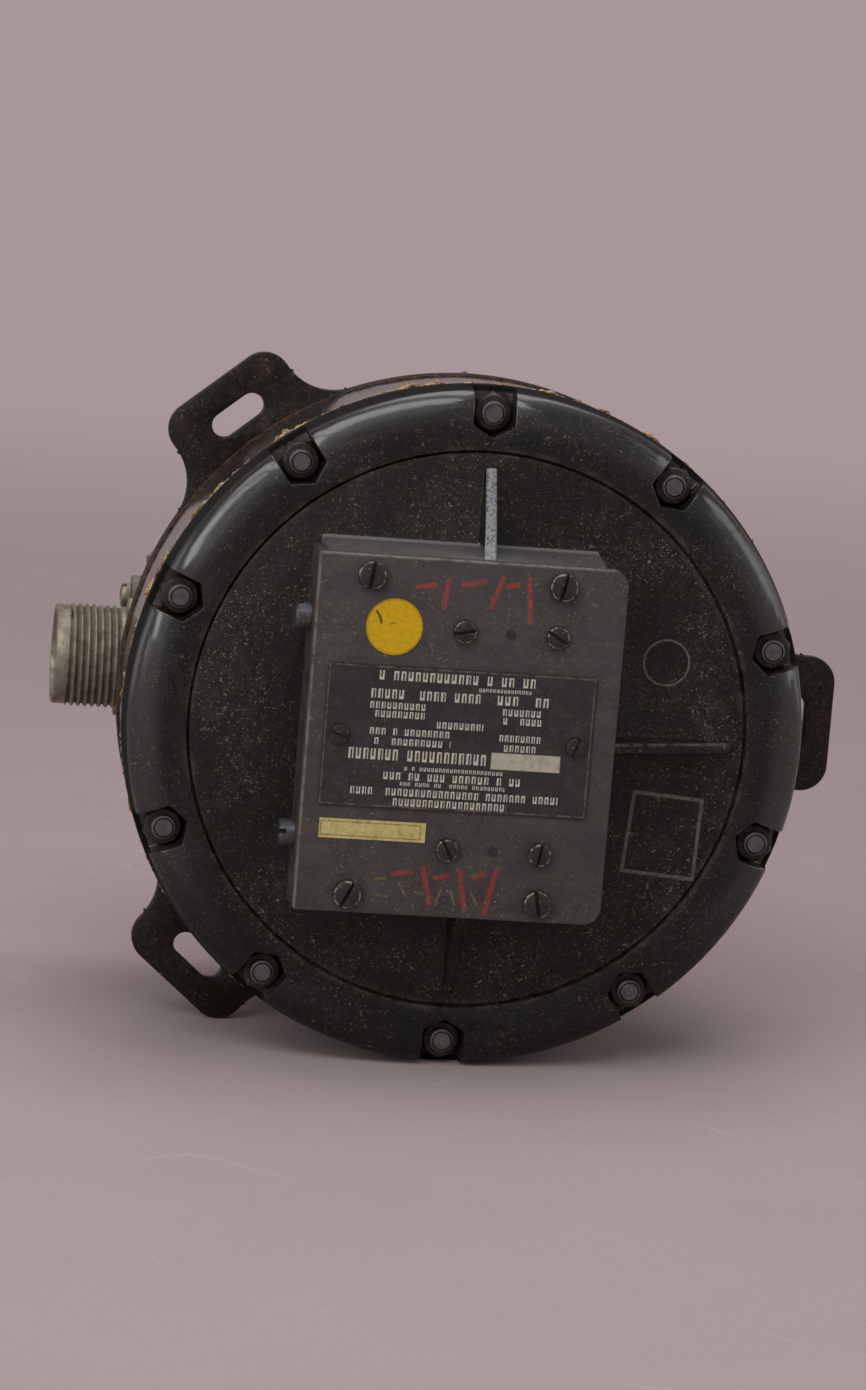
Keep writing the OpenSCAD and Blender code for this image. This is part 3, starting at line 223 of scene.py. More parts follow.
def disc(name, radius, height, z=0.0, sides=48):
    """A cylinder from z upwards, all in millimetres."""
    bpy.ops.mesh.primitive_cylinder_add(vertices=sides, radius=radius * MM, depth=height * MM,
                                        location=(0, 0, (z + height / 2) * MM))
    return made(name)


def block(name, low, high):
    """A box between two corners, in millimetres."""
    low, high = Vector(low), Vector(high)
    bpy.ops.mesh.primitive_cube_add(size=1, location=(low + high) / 2 * MM, scale=(high - low) * MM)
    return made(name)


def modify(obj, kind, **settings):
    """Adds a modifier, sets it and applies it."""
    only(obj)
    change = obj.modifiers.new("change", kind)
    for key, value in settings.items():
        setattr(change, key, value)
    bpy.ops.object.modifier_apply(modifier=change.name)


def cut(obj, tool, operation="DIFFERENCE"):
    """Applies a boolean with a tool that is then removed."""
    modify(obj, "BOOLEAN", operation=operation, object=tool, solver="EXACT")
    drop(tool)


def drop(obj):
    """Deletes a tool or a blank."""
    only(obj)
    bpy.ops.object.delete()


def join(obj, *others):
    only(obj, *others)
    bpy.ops.object.join()


def place(obj, matrix):
    """Moves a piece's mesh from a drawing to the frame and leaves its object at the origin."""
    only(obj)
    obj.matrix_world = matrix
    bpy.ops.object.transform_apply()


def copy_of(obj, name):
    """A copy with its own mesh."""
    twin = obj.copy()
    twin.data = obj.data.copy()
    twin.name = twin.data.name = name
    for key in [k for k in twin.keys() if k.startswith("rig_")]:
        del twin[key]
    twin.parent = None
    bpy.context.scene.collection.objects.link(twin)
    return only(twin)


def lathe(name, profile, steps, screw=0.0, turns=1):
    """Extrudes a vertex along a closed profile of (radius, z) points in millimetres and turns it round z."""
    bpy.ops.mesh.primitive_plane_add(size=MM)
    obj = made(name)
    edit(obj, "VERT", everything=True)
    bpy.ops.mesh.merge(type="CENTER")
    spot = Vector((profile[0][0], 0, profile[0][1])) * MM
    bpy.ops.transform.translate(value=spot)
    for radius, z in profile[1:]:
        new = Vector((radius, 0, z)) * MM
        bpy.ops.mesh.extrude_vertices_move(TRANSFORM_OT_translate={"value": new - spot})
        spot = new
    pick(obj, "verts", lambda centre, vertex: len(vertex.link_edges) == 1)
    bpy.ops.mesh.edge_face_add()
    leave()
    modify(obj, "SCREW", axis="Z", angle=math.tau, steps=steps, render_steps=steps, iterations=turns,
           screw_offset=screw * MM, use_merge_vertices=screw == 0, merge_threshold=SAME_SPOT)
    outwards(obj)
    return obj


def outwards(obj):
    """Merges a mesh's doubles and turns its faces outwards."""
    edit(obj, everything=True)
    bpy.ops.mesh.remove_doubles(threshold=SAME_SPOT)
    bpy.ops.mesh.select_all(action="SELECT")
    bpy.ops.mesh.normals_make_consistent(inside=False)
    leave()


def round_edges(obj, width, segments=2, angle=SHARP):
    """Rounds every edge sharper than an angle in degrees."""
    modify(obj, "BEVEL", width=width, segments=segments, limit_method="ANGLE",
           angle_limit=math.radians(angle), use_clamp_overlap=False, miter_outer="MITER_ARC")
    return obj


def settle(obj, slot, node, smooth=32):
    """Finishes a piece: shading, the finish of its material slot, its body and the solid it stands for."""
    only(obj)
    bpy.ops.object.shade_smooth_by_angle(angle=math.radians(smooth))
    obj.data.materials.clear()
    obj.data.materials.append(FINISHES[slot])
    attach(obj, "case")
    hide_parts(node)


# Shader helpers


def math_node(operation, reflected=False):
    """A method that adds one Math node to the tree of its wire."""
    def method(wire, *others):
        values = (*others, wire) if reflected else (wire, *others)
        return wire.nodes.node("Math", {"operation": operation}, dict(enumerate(values)))
    return method


class Wire:
    """A value that runs between nodes; sums written with it add Math nodes."""
    __add__ = __radd__ = math_node("ADD")
    __sub__ = math_node("SUBTRACT")
    __rsub__ = math_node("SUBTRACT", reflected=True)
    __mul__ = __rmul__ = math_node("MULTIPLY")
    __truediv__ = math_node("DIVIDE")
    __lt__ = math_node("LESS_THAN")
    __gt__ = math_node("GREATER_THAN")
    __abs__ = math_node("ABSOLUTE")
    least = math_node("MINIMUM")
    most = math_node("MAXIMUM")
    root = math_node("SQRT")
    sine = math_node("SINE")
    floor = math_node("FLOOR")
    fraction = math_node("FRACT")

    def __init__(self, nodes, socket):
        self.nodes, self.socket = nodes, socket

    def fade(self, start, end, low=0.0, high=1.0):
        """Goes smoothly from low to high as the value goes from start to end."""
        return self.nodes.node("MapRange", {"interpolation_type": "SMOOTHSTEP"},
                               {0: self, 1: start, 2: end, 3: low, 4: high})


class Nodes:
    """An emptied node tree that is filled by calls."""

    def __init__(self, tree):
        self.tree = tree
        tree.nodes.clear()

    def node(self, kind, settings=None, values=None, output=0):
        """Adds a shader node: its settings first, then the values or links of its sockets."""
        new = self.tree.nodes.new("ShaderNode" + kind)
        for key, value in (settings or {}).items():
            setattr(new, key, value)
        self.feed(new, values or {})
        return Wire(self, new.outputs[output])

    def feed(self, node, values):
        """Gives a node's sockets their values or links."""
        for key, value in values.items():
            if isinstance(value, Wire):
                self.tree.links.new(value.socket, node.inputs[key])
            else:
                node.inputs[key].default_value = value

    def mix(self, share, first, second):
        """A colour between two colours."""
        return self.node("Mix", {"data_type": "RGBA"}, {0: share, 6: first, 7: second}, 2)


class Finish(Nodes):
    """One procedural material. Positions are in millimetres of the case drawing."""

    def __init__(self, name, **constants):
        self.material = bpy.data.materials.new(name)
        self.material.use_nodes = True
        super().__init__(self.material.node_tree)
        self.output = self.tree.nodes.new("ShaderNodeOutputMaterial")
        self.shader = self.tree.nodes.new("ShaderNodeBsdfPrincipled")
        self.feed(self.output, {"Surface": Wire(self, self.shader.outputs[0])})
        self.set(**constants)
        spot = self.node("TexCoord", output="Object")
        self.spot = self.node("Mapping", None, {"Vector": spot, "Rotation": (-math.pi / 2, 0, ROLL),
                                                "Scale": (1 / MM,) * 3})
        self.x, self.y, self.z = (self.node("SeparateXYZ", None, {0: self.spot}, axis)
                                  for axis in range(3))

    def set(self, **values):
        """Feeds the shader's sockets, named with _ for a space."""
        self.feed(self.shader, {key.replace("_", " "): value for key, value in values.items()})

    def stretched(self, x=1.0, y=1.0, z=1.0):
        return self.node("Mapping", None, {"Vector": self.spot, "Scale": (x, y, z)})

    def cloud(self, size, detail=2.0, rough=0.5, warp=0.0, spot=None):
        """Noise from 0 to 1 with patches of about this size in millimetres."""
        return self.node("TexNoise", None,
                         {"Vector": spot or self.spot, "Scale": 1 / size,
                          "Detail": detail, "Roughness": rough, "Distortion": warp})

    def grains(self, cell, radius, share):
        """Grains of this radius, one in a share of cells of this size, and a lot from 0 to 1 for each."""
        cells = {"Vector": self.spot, "Scale": 1 / cell}
        nearness = self.node("TexVoronoi", None, cells, "Distance")
        lots = self.node("TexVoronoi", None, cells, "Color")
        red, green, blue = (self.node("SeparateColor", None, {0: lots}, part) for part in range(3))
        edge = nearness / (radius / cell * (0.45 + green * 0.9))
        return edge.fade(1.35, 0.65) * (red < share), blue

    def specks(self, cell, radius, share):
        return self.grains(cell, radius, share)[0]

    def away(self, x, y):
        """Distance in millimetres from a point of the face."""
        side, over = self.x - x, self.y - y
        return (side * side + over * over).root()

    def border(self, x, y, half_w, half_h):
        """Distance in millimetres from the outline of a rectangle round a point of the face."""
        return abs((abs(self.x - x) - half_w).most(abs(self.y - y) - half_h))

    def strokes(self, *lines):
        """Distance in millimetres from the nearest of some straight strokes (x0, y0, x1, y1) on the face."""
        nearest = None
        for x0, y0, x1, y1 in lines:
            dx, dy = x1 - x0, y1 - y0
            whole = dx * dx + dy * dy
            along = (self.x - x0) * (dx / whole) + (self.y - y0) * (dy / whole)
            along = along.least(1.0).most(0.0)
            off_x, off_y = self.x - x0 - along * dx, self.y - y0 - along * dy
            gap = (off_x * off_x + off_y * off_y).root()
            nearest = nearest.least(gap) if nearest else gap
        return nearest

    def relief(self, height, depth, shape=None):
        """Bumps this deep where the height is 1, over a shape, all in millimetres; gives the material."""
        values = {"Distance": depth * MM, "Height": height}
        if shape:
            values["Normal"] = self.node("Bump", None, {"Distance": MM, "Height": shape})
        self.set(Normal=self.node("Bump", None, values))
        return self.material

    def tint(self, base, share, red, green, blue):
        """A colour partly covered by a colour of screen values."""
        return self.mix(share, base, screen(red, green, blue))


# Finishes


def dusty(f, base, amount):
    """Lays a film, fine grains, lint and coarse grains over a colour; gives it and the dust's share."""
    patch = f.cloud(12, 3, 0.6).fade(0.38, 0.62)
    film = patch * f.cloud(1.6, 4, 0.7).fade(0.4, 0.75) * amount
    out = f.tint(base, film * 0.16, 98, 86, 74)
    fine, lot = f.grains(0.5, 0.1, 0.75)
    fine = fine * (patch * 0.7 + 0.3) * amount
    pale_or_gold = f.mix(lot.fade(0.5, 0.65), screen(134, 124, 112), screen(132, 106, 66))
    out = f.mix(fine * 0.62, out, pale_or_gold)
    lint = 0
    for size, reach in ((2.6, 0.9), (1.5, 0.7)):
        # lint is short bits of the noise's contour line
        contour = abs(f.cloud(size, 1, 0.5, 0.4) - 0.5).fade(0.036, 0.01)
        lint = contour * f.cloud(reach, 2, 0.6, 0, f.stretched(z=1.3)).fade(0.6, 0.65) + lint
    lint = lint.least(1.0) * (patch * 0.7 + 0.3) * amount
    out = f.tint(out, lint * 0.55, 138, 124, 102)
    coarse, lot = f.grains(1.7, 0.14, 0.34)
    coarse = coarse * (patch * 0.6 + 0.4) * amount
    rust_or_pale = f.mix(lot.fade(0.3, 0.4), screen(104, 68, 44), screen(158, 144, 120))
    out = f.mix(coarse * 0.7, out, rust_or_pale)
    return out, film.most(fine).most(coarse).most(lint * 0.6)


def cover_plastic(colours):
    """Black-brown moulded plastic: mottled, dusty, brown in the nut pockets, with faint bare ink stamps."""
    f = Finish("moulded plastic", Specular_IOR_Level=0.24, Coat_Roughness=0.2, Coat_IOR=1.6)
    mottle = f.cloud(7, 4, 0.6).fade(0.3, 0.75)
    base = f.tint(shade(colours.cover), mottle, 17, 13, 13)
    away = f.away(0, 0)
    rim = away.fade(GROOVE_R + 0.1, GROOVE_R + 0.7)
    base = f.tint(base, rim * 0.8, 13, 12, 13)
    groove = abs(away - GROOVE_R)
    base = f.tint(base, groove.fade(1.6, 0.0) * f.cloud(4, 3).fade(0.4, 0.7) * 0.35, 96, 80, 62)
    base = f.tint(base, (groove < 0.45) * f.cloud(1.5, 3).fade(0.4, 0.65) * 0.6, 50, 40, 32)
    pocket = (f.z < 31.5) * rim * (away < 59.2) * f.cloud(1.2, 4, 0.7).fade(0.4, 0.6)
    base = f.tint(base, pocket * 0.75, 78, 60, 44)
    # a round and a four-sided ink stamp, both empty
    ring = abs(f.away(33.8, 14.2) - 4.0).fade(0.26, 0.1)
    frame_line = f.strokes((30.2, -8.9, 42.3, -9.8), (42.3, -9.8, 41.8, -23.9),
                           (41.8, -23.9, 29.1, -23.0), (29.1, -23.0, 30.2, -8.9)).fade(0.42, 0.22)
    ink = ring.most(frame_line) * f.cloud(0.9, 3, 0.7).fade(0.2, 0.55) * (f.z > DISC_Z - 1)
    base = f.tint(base, ink * 0.6, 108, 102, 98)
    # the box's upper wall shines under the lamp, most at its foot
    wall = (f.z > DISC_Z + 0.1) * (f.z < 45.2) * (f.y > 31.0) * (f.y < 33.2) * (abs(f.x + 4.5) < 24.5)
    base = f.tint(base, wall * (f.z.fade(37.0, 35.4) * 0.55 + 0.35), 112, 110, 110)
    # painted highlight and dust: the top rib's sloping front, which faces the lamps, is painted pale, and so is
    # the upper corner of the right rib's
    top_rib_dust_and_highlight = (f.z + (f.y - 30.9) * 0.597 > 45.0) * (abs(f.x) < 1.2) * (f.z > 35.9) * (f.y > 31.5)
    base = f.tint(base, top_rib_dust_and_highlight * f.cloud(0.5, 2).fade(0.2, 0.6) * 0.85, 134, 135, 140)
    crest = (f.z + (f.x - 23.2) * 0.398 > 44.9) * (abs(f.y - 0.8) < 0.25) * (f.x > 24) * (f.z > 35.6)
    base = f.tint(base, crest * f.cloud(1.5, 3).fade(0.3, 0.6) * 0.5, 104, 98, 92)
    out, dust = dusty(f, base, 1 - rim * 0.45)
    # painted shade: the cover's side wall below the rim is painted nearly black; it is also made rough and left
    # without coat
    foot = f.z.fade(33.4, 32.4) * (away > 58.9)
    # grime dulls the rim's lower side
    dull = f.y.fade(-14, -42) * 0.85
    gloss = rim * away.fade(52.5, 56.0, 0.2, 1.0)
    f.set(Base_Color=f.tint(out, foot * 0.8, 8, 7, 7),
          Roughness=(0.38 - rim * 0.06 + mottle * 0.08 + dust * 0.3 + pocket * 0.3 + foot * 0.6
                     + dull * rim * 0.2),
          Coat_Weight=gloss * (1 - dust * 0.8) * (1 - pocket) * (1 - foot) * (1 - dull))
    # the rim is already slightly crowned inside its round-over
    crown = (away - 51.5).most(0.0) * (f.z > 32)
    grain = f.cloud(0.35, 3, 0.6) * (0.5 - rim * 0.38) + f.cloud(5, 2) * 0.5 + dust * (0.8 - rim * 0.4)
    return f.relief(grain, 0.045, crown * crown * -0.022)


def box_paint(colours):
    """Grey-black satin paint of the box: rubbed, pale at its edge, with plain crayon and pencil strokes."""
    f = Finish("box paint", Specular_IOR_Level=0.32)
    mottle = f.cloud(5, 4, 0.65).fade(0.3, 0.75)
    base = f.tint(shade(colours.lid), mottle, 54, 50, 49)
    smear = f.cloud(3.5, 4, 0.6, 0.6, f.stretched(x=0.3)).fade(0.5, 0.8)
    base = f.tint(base, smear * 0.25, 92, 88, 84)

    def drawn(half, crumb, *lines):
        line = f.strokes(*lines).fade(half + 0.15, half - 0.15)
        return line * f.cloud(crumb, 4, 0.75).fade(0.34, 0.56) * (f.z > LID_FRONT - 0.2)

    pencil = drawn(0.22, 0.5, (-15.9, -24.4, -13.9, -24.2), (-15.6, -27.2, -13.5, -27.4),
                   (-11.8, -25.0, -10.4, -27.2), (-8.9, -26.4, -7.6, -26.6), (-4.4, -25.8, -5.2, -28.0),
                   (-2.8, -25.9, -1.9, -28.1), (0.9, -26.2, 2.0, -28.0))
    base = f.tint(base, pencil * 0.7, 112, 100, 54)
    crayon = drawn(0.42, 0.6, (-7.4, 27.8, -7.9, 23.2), (1.9, 28.8, 0.2, 23.7), (6.4, 29.0, 7.2, 21.5),
                   (-12.7, 26.4, -9.6, 26.9), (-4.8, 27.2, -1.2, 28.0), (2.9, 27.4, 4.4, 27.8),
                   (-7.8, -22.2, -6.2, -28.2), (-1.4, -22.4, -0.1, -28.8), (4.9, -21.6, 3.4, -29.4),
                   (-12.8, -23.4, -9.8, -22.8), (-5.6, -23.8, -3.4, -23.2), (1.0, -23.2, 2.9, -22.6))
    base = f.tint(base, crayon * 0.85, 142, 46, 40)
    rubbed = (f.x - BOX_LEFT).least(BOX_HIGH - f.y).fade(0.55, 0.15) * f.cloud(2.4, 3, 0.6).fade(0.3, 0.6)
    base = f.tint(base, rubbed * 0.55, 128, 122, 114)
    # the side plate under the lid is nearly black
    base = f.tint(base, (f.z < LID_BACK - 0.3) * 0.7, 20, 17, 16)
    out, dust = dusty(f, base, 0.7)
    f.set(Base_Color=out, Roughness=0.44 + mottle * 0.1 + dust * 0.25)
    return f.relief(f.cloud(0.4, 3, 0.6) * 0.7 + dust * 0.6 + crayon * 0.6, 0.04)


def enamel(name, colour, gloss, rusty, shine=0.5):
    """Black enamel; rusty tells how much brown shows through."""
    f = Finish(name, Specular_IOR_Level=shine, Coat_Roughness=0.1)
    wear = f.cloud(6, 5, 0.65).fade(0.5, 0.75)
    fine = f.cloud(0.7, 4, 0.7).fade(0.45, 0.7)
    base = f.tint(colour, wear * rusty, 84, 62, 46)
    base = f.tint(base, fine * rusty * 0.4, 112, 84, 58)
    out, dust = dusty(f, base, 0.5)
    f.set(Base_Color=out, Roughness=gloss + wear * 0.12 + dust * 0.3, Coat_Weight=(shine - wear * 0.4) * 0.8)
    return f.relief(f.cloud(0.6, 4, 0.6) + wear * 0.5, 0.04)


def cork():
    """Cork sheet soaked with varnish: crumbling and pale gold under the cover, darker on the plate."""
    f = Finish("cork", Specular_IOR_Level=0.3)
    grain = f.cloud(0.9, 5, 0.7)
    crumbs = f.specks(0.6, 0.26, 0.6)
    upper = f.z > 20
    base = f.mix(grain.fade(0.35, 0.65), screen(40, 31, 24), screen(90, 68, 48))
    pale = f.mix(grain.fade(0.34, 0.6), screen(92, 62, 42), screen(186, 152, 112))
    base = f.mix(upper, base, pale)
    base = f.mix(crumbs * 0.7, base, f.mix(upper, screen(84, 66, 44), screen(206, 180, 136)))
    base = f.tint(base, f.cloud(3, 4, 0.65).fade(0.5, 0.62) * 0.75, 34, 25, 19)
    f.set(Base_Color=base, Roughness=0.85)
    return f.relief(grain + crumbs * 0.6, 0.35)


def steel(name, colour, rough, rust=0.3, metal=0.85, above=None, other=None, nicks_and_glints=(), tarnish=0.45):
    """Tarnished, rusty steel; above a height it may have another colour, and heads may have pale rims, partly
    nicks and partly a painted highlight.
    """
    f = Finish(name)
    wear = f.cloud(1.6, 4, 0.65).fade(0.4, 0.7)
    base = screen(*colour)
    if above:
        base = f.tint(base, f.z > above, *other)
    base = f.tint(base, wear * tarnish, 20, 18, 17)
    for x, half_w, y, half_h, radius in nicks_and_glints:
        # four heads stand at the corners of a rectangle round (x, y)
        across, up = abs(abs(f.x - x) - half_w), abs(abs(f.y - y) - half_h)
        # painted highlight and nicks: a pale, broken ring on the rim of each head's top
        rim = abs((across * across + up * up).root() - radius).fade(0.24, 0.06)
        worn = rim * f.cloud(0.8, 3).fade(0.46, 0.6) * (f.z > LID_FRONT + 0.9)
        base = f.tint(base, worn * 0.8, 140, 135, 126)
    rusty = f.cloud(1.1, 5, 0.7).fade(0.56, 0.72) * rust
    base = f.tint(base, rusty, 108, 70, 44)
    grit = f.specks(0.6, 0.11, 0.3)
    base = f.tint(base, grit * 0.5, 140, 130, 114)
    f.set(Base_Color=base, Metallic=metal - rusty * 0.6 - grit * 0.4,
          Roughness=rough + wear * 0.12 + rusty * 0.3)
    return f.relief(f.cloud(0.25, 3, 0.6) + rusty * 0.6, 0.04)


def brass(name, colour, rough):
    """Yellow metal with darker patches and fine marks along the case's axis."""
    f = Finish(name)
    wear = f.cloud(1.8, 4, 0.6).fade(0.35, 0.7)
    base = f.mix(wear, screen(*colour), shade(screen(*colour), 0.6))
    f.set(Base_Color=base, Metallic=1.0 - wear * 0.15, Roughness=rough + wear * 0.15)
    return f.relief(f.cloud(0.3, 2, 0.5, 0, f.stretched(z=0.1)), 0.02)


def plain(name, first, second, rough, grain=0.8, depth=0.05):
    """Mottled non-metal: resin, rubber, fibre, paper, cloth."""
    f = Finish(name, Specular_IOR_Level=0.4)
    mottle = f.cloud(grain, 4, 0.65)
    f.set(Base_Color=f.tint(screen(*first), mottle.fade(0.3, 0.7), *second), Roughness=rough + mottle * 0.1)
    return f.relief(mottle, depth)


def winding():
    """Varnished copper turns that lie side by side."""
    f = Finish("copper winding")
    wire = 0.45
    turn = (f.z * (math.tau / wire)).sine() * 0.5 + 0.5
    base = f.mix(turn, screen(74, 34, 18), screen(176, 92, 46))
    f.set(Base_Color=base, Metallic=turn * 0.6 + 0.2, Roughness=0.42 - turn * 0.1)
    return f.relief(turn, 0.15)


def sticker(colours):
    """Yellow paper dot: slightly worn rim and two small dark marks."""
    f = Finish("yellow paper", Specular_IOR_Level=0.3)
    fibre = f.cloud(0.5, 4, 0.6)
    base = f.tint(shade(colours.sticker), fibre.fade(0.3, 0.7), 182, 142, 0)
    base = f.tint(base, f.away(STICKER_X, STICKER_Y).fade(4.3, 4.9) * 0.5, 112, 82, 12)
    bent = f.strokes((-19.3, 21.8, -18.7, 20.9), (-18.7, 20.9, -18.4, 19.9))
    mark = bent.least(f.strokes((-16.7, 19.8, -16.1, 20.0)) + 0.12)
    base = f.tint(base, mark.fade(0.32, 0.14) * 0.85, 56, 46, 20)
    base = f.tint(base, f.specks(1.1, 0.12, 0.25) * 0.6, 92, 66, 20)
    f.set(Base_Color=base, Roughness=0.62)
    return f.relief(fibre + f.cloud(3, 2) * 0.8, 0.06)


def strip(colours):
    """Cream paper strip, aged, with a thin printed border and nothing on it."""
    f = Finish("cream paper", Specular_IOR_Level=0.3)
    fibre = f.cloud(0.6, 4, 0.6)
    base = f.tint(shade(colours.strip), fibre.fade(0.3, 0.7), 168, 151, 94)
    base = f.tint(base, f.cloud(3, 3).fade(0.5, 0.72) * 0.5, 120, 98, 52)
    border = f.border(STRIP_X, STRIP_Y, 8.6, 1.2).fade(0.16, 0.06) * f.cloud(0.5, 3).fade(0.2, 0.5)
    base = f.tint(base, border * 0.6, 70, 60, 34)
    f.set(Base_Color=base, Roughness=0.66)
    return f.relief(fibre, 0.04)


def data_print():
    """Black plate: rows of small blocks stand for its print, with one pale field; nothing can be read."""
    f = Finish("printed plate")
    mottle = f.cloud(3, 4, 0.6).fade(0.3, 0.7)
    base = f.mix(mottle, screen(30, 29, 29), screen(40, 38, 37))
    # each row's middle, its two ends, its blocks' height and their pitch
    rows = [(11.0, -18.1, 9.1, 1.6, 1.24), (9.4, -0.8, 8.3, 0.6, 0.62), (7.8, -20.5, -13.3, 1.6, 1.2),
            (7.8, -10.9, -0.2, 1.6, 1.2), (7.8, 2.5, 11.8, 1.6, 1.32), (5.8, -19.3, -9.5, 1.15, 0.98),
            (5.8, 3.6, 10.4, 1.15, 0.98), (4.3, -19.3, -9.5, 1.15, 0.98), (4.3, 3.8, 10.5, 1.15, 0.98),
            (2.9, -7.6, 0.5, 1.15, 0.98), (1.3, -19.0, -3.9, 1.15, 1.0), (1.3, 3.4, 10.8, 1.15, 0.92),
            (-0.4, -19.1, -4.9, 1.15, 1.0), (-0.4, 4.3, 10.1, 1.15, 0.96), (-2.7, -22.4, 1.8, 1.9, 1.27),
            (-4.9, -13.2, 4.9, 0.65, 0.66), (-6.3, -16.1, 8.0, 1.3, 1.09), (-7.6, -13.1, 5.1, 0.65, 0.66),
            (-9.1, -22.6, 14.4, 1.25, 1.02), (-10.8, -14.1, 5.6, 1.25, 1.03)]
    # each row switches its own numbers on, so that the blocks are worked out once for all rows
    inside = offset = rate = middle = tall = 0
    for y, start, end, height, pitch in rows:
        here = (abs(f.y - y) < height / 2 + 0.1) * (f.x > start) * (f.x < end)
        inside, offset, rate = here + inside, here * start + offset, here * (1 / pitch) + rate
        middle, tall = here * y + middle, here * height + tall
    along, up = (f.x - offset) * rate, (f.y - middle) / tall
    place = along.fraction() - 0.42
    cell = f.node("CombineXYZ", None, {0: along.floor(), 1: middle * 3.7 + offset})
    lot = f.node("TexWhiteNoise", {"noise_dimensions": "2D"}, {0: cell})
    block = abs(place).fade(0.37, 0.29) * abs(up).fade(0.54, 0.45)
    # a notch in each block's top or foot, and some blocks left out
    notch = abs(place - (lot - 0.5) * 0.16).fade(0.15, 0.09)
    notch = notch * (up * ((lot > 0.5) * 2 - 1) - (lot - 0.4) * 0.3).fade(0.3, 0.2)
    ink = inside * block * (1 - notch) * (lot > 0.13) * f.cloud(0.5, 3).fade(0.1, 0.45)
    base = f.tint(base, ink * 0.9, 190, 184, 170)
    field = abs(f.x - 8.3).fade(6.05, 5.9) * abs(f.y + 2.7).fade(1.5, 1.38)
    field_paint = f.mix(f.cloud(1.5, 3).fade(0.4, 0.7), screen(170, 165, 149), screen(150, 144, 126))
    base = f.mix(field * 0.92, base, field_paint)
    border = f.border(PLATE_X, PLATE_Y, PLATE_HALF_W, PLATE_HALF_H).fade(0.2, 0.06)
    base = f.tint(base, border * f.cloud(1.2, 3).fade(0.35, 0.6) * 0.5, 120, 104, 82)
    out, dust = dusty(f, base, 0.4)
    f.set(Base_Color=out, Roughness=0.36 + dust * 0.3 + mottle * 0.08)
    return f.relief(f.cloud(0.5, 3) * 0.4 + ink * 0.4, 0.03)


def ruby():
    """Dark red polished jewel."""
    f = Finish("ruby", Specular_IOR_Level=0.6, Roughness=0.06, IOR=1.76)
    f.set(Base_Color=f.mix(f.cloud(0.8, 3).fade(0.3, 0.7), (0.45, 0.01, 0.03, 1), (0.3, 0.0, 0.02, 1)))
    return f.material


def socket_shell(colours):
    """Plated olive shell: worn darker in patches, brown in the thread's roots, speckled."""
    f = Finish("socket plating")
    wear = f.cloud(2.4, 5, 0.65).fade(0.38, 0.7)
    base = f.tint(shade(colours.shell), wear, 108, 98, 80)
    deep = f.z - SOCKET_Z
    thread = (f.x < -(SOCKET_FACE + 2.6)) * (f.x > -(SOCKET_MOUTH - 2.6))
    roots = (f.y * f.y + deep * deep).root().fade(9.3, 8.85) * thread
    base = f.tint(base, roots * 0.7, 64, 50, 34)
    base = f.tint(base, f.specks(0.8, 0.14, 0.3) * 0.5, 70, 56, 36)
    f.set(Base_Color=base, Metallic=0.55 - roots * 0.4, Roughness=0.42 + wear * 0.14 + roots * 0.25)
    return f.relief(f.cloud(0.4, 4, 0.6) + wear * 0.4, 0.05)


FINISHES = {}


def build_finishes(colours):
    """Makes one finish for each material slot of the record."""
    black = shade(colours.enamel)
    FINISHES.update(
        cover_plastic=cover_plastic(colours), box_plate=box_paint(colours), cork=cork(),
        case_enamel=enamel("glossy enamel", black, 0.16, 0.4),
        bowl_enamel=enamel("bowl enamel", black, 0.36, 0.35),
        plate_enamel=enamel("plate enamel", screen(20, 17, 16), 0.46, 0.28, 0.16),
        nut_steel=steel("nut steel", (44, 38, 31), 0.44, 0.35, 0.35, above=32.2, other=(84, 81, 82)),
        stud_steel=steel("stud steel", (128, 126, 122), 0.36, 0.4),
        box_screws=steel("blackened screws", (50, 47, 45), 0.44, 0.35, 0.5,
                         nicks_and_glints=((-4.2, 16.5, 0.4, 27.6, 2.25), (4.0, 8.05, 0.35, 18.95, 1.82))),
        shaft_steel=steel("turned steel", (86, 86, 90), 0.36, 0.25, 0.6, above=47, other=(62, 59, 58)),
        core_iron=steel("core iron", (120, 120, 126), 0.45, 0.1),
        magnet=steel("magnet alloy", (96, 98, 106), 0.4, 0.05),
        bright_metal=steel("light alloy", (158, 158, 154), 0.38, 0.0, tarnish=0.12),
        gasket_paper=plain("gasket paper", (62, 48, 32), (92, 74, 50), 0.8),
        rubber=plain("rubber", (26, 26, 26), (36, 35, 34), 0.7),
        insert_resin=plain("brown resin", (62, 38, 26), (82, 52, 34), 0.35, 1.5, 0.02),
        fibre=plain("fibre", (120, 66, 42), (146, 88, 56), 0.6),
        lead_cloth=plain("lead cloth", (170, 154, 120), (128, 112, 82), 0.85, 0.4, 0.1),
        data_foil=data_print(), sticker_yellow=sticker(colours), strip_paper=strip(colours),
        gear_brass=brass("gear brass", (196, 158, 92), 0.3),
        contact_gold=brass("contact gold", (212, 176, 104), 0.22),
        diaphragm_bronze=brass("diaphragm bronze", (176, 146, 96), 0.34),
        float_brass=brass("float brass", (184, 152, 92), 0.28),
        connector_olive=socket_shell(colours), copper_wire=winding(), ruby=ruby())


# Operators


class TRANSMITTER_OT_dress_solids(bpy.types.Operator):
    """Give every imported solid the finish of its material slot"""
    bl_idname = "transmitter.dress_solids"
    bl_label = "Dress the packed solids"

    def execute(self, context):
        build_finishes(context.scene.transmitter_colours)
        for part in frame["record"]["subparts"]:
            node = NODES[part["node"]]
            finish = FINISHES[part["material_slot"]]
            if not node.material_slots:
                node.data.materials.append(finish)
            for socket in node.material_slots:
                socket.material = finish
        return {"FINISHED"}


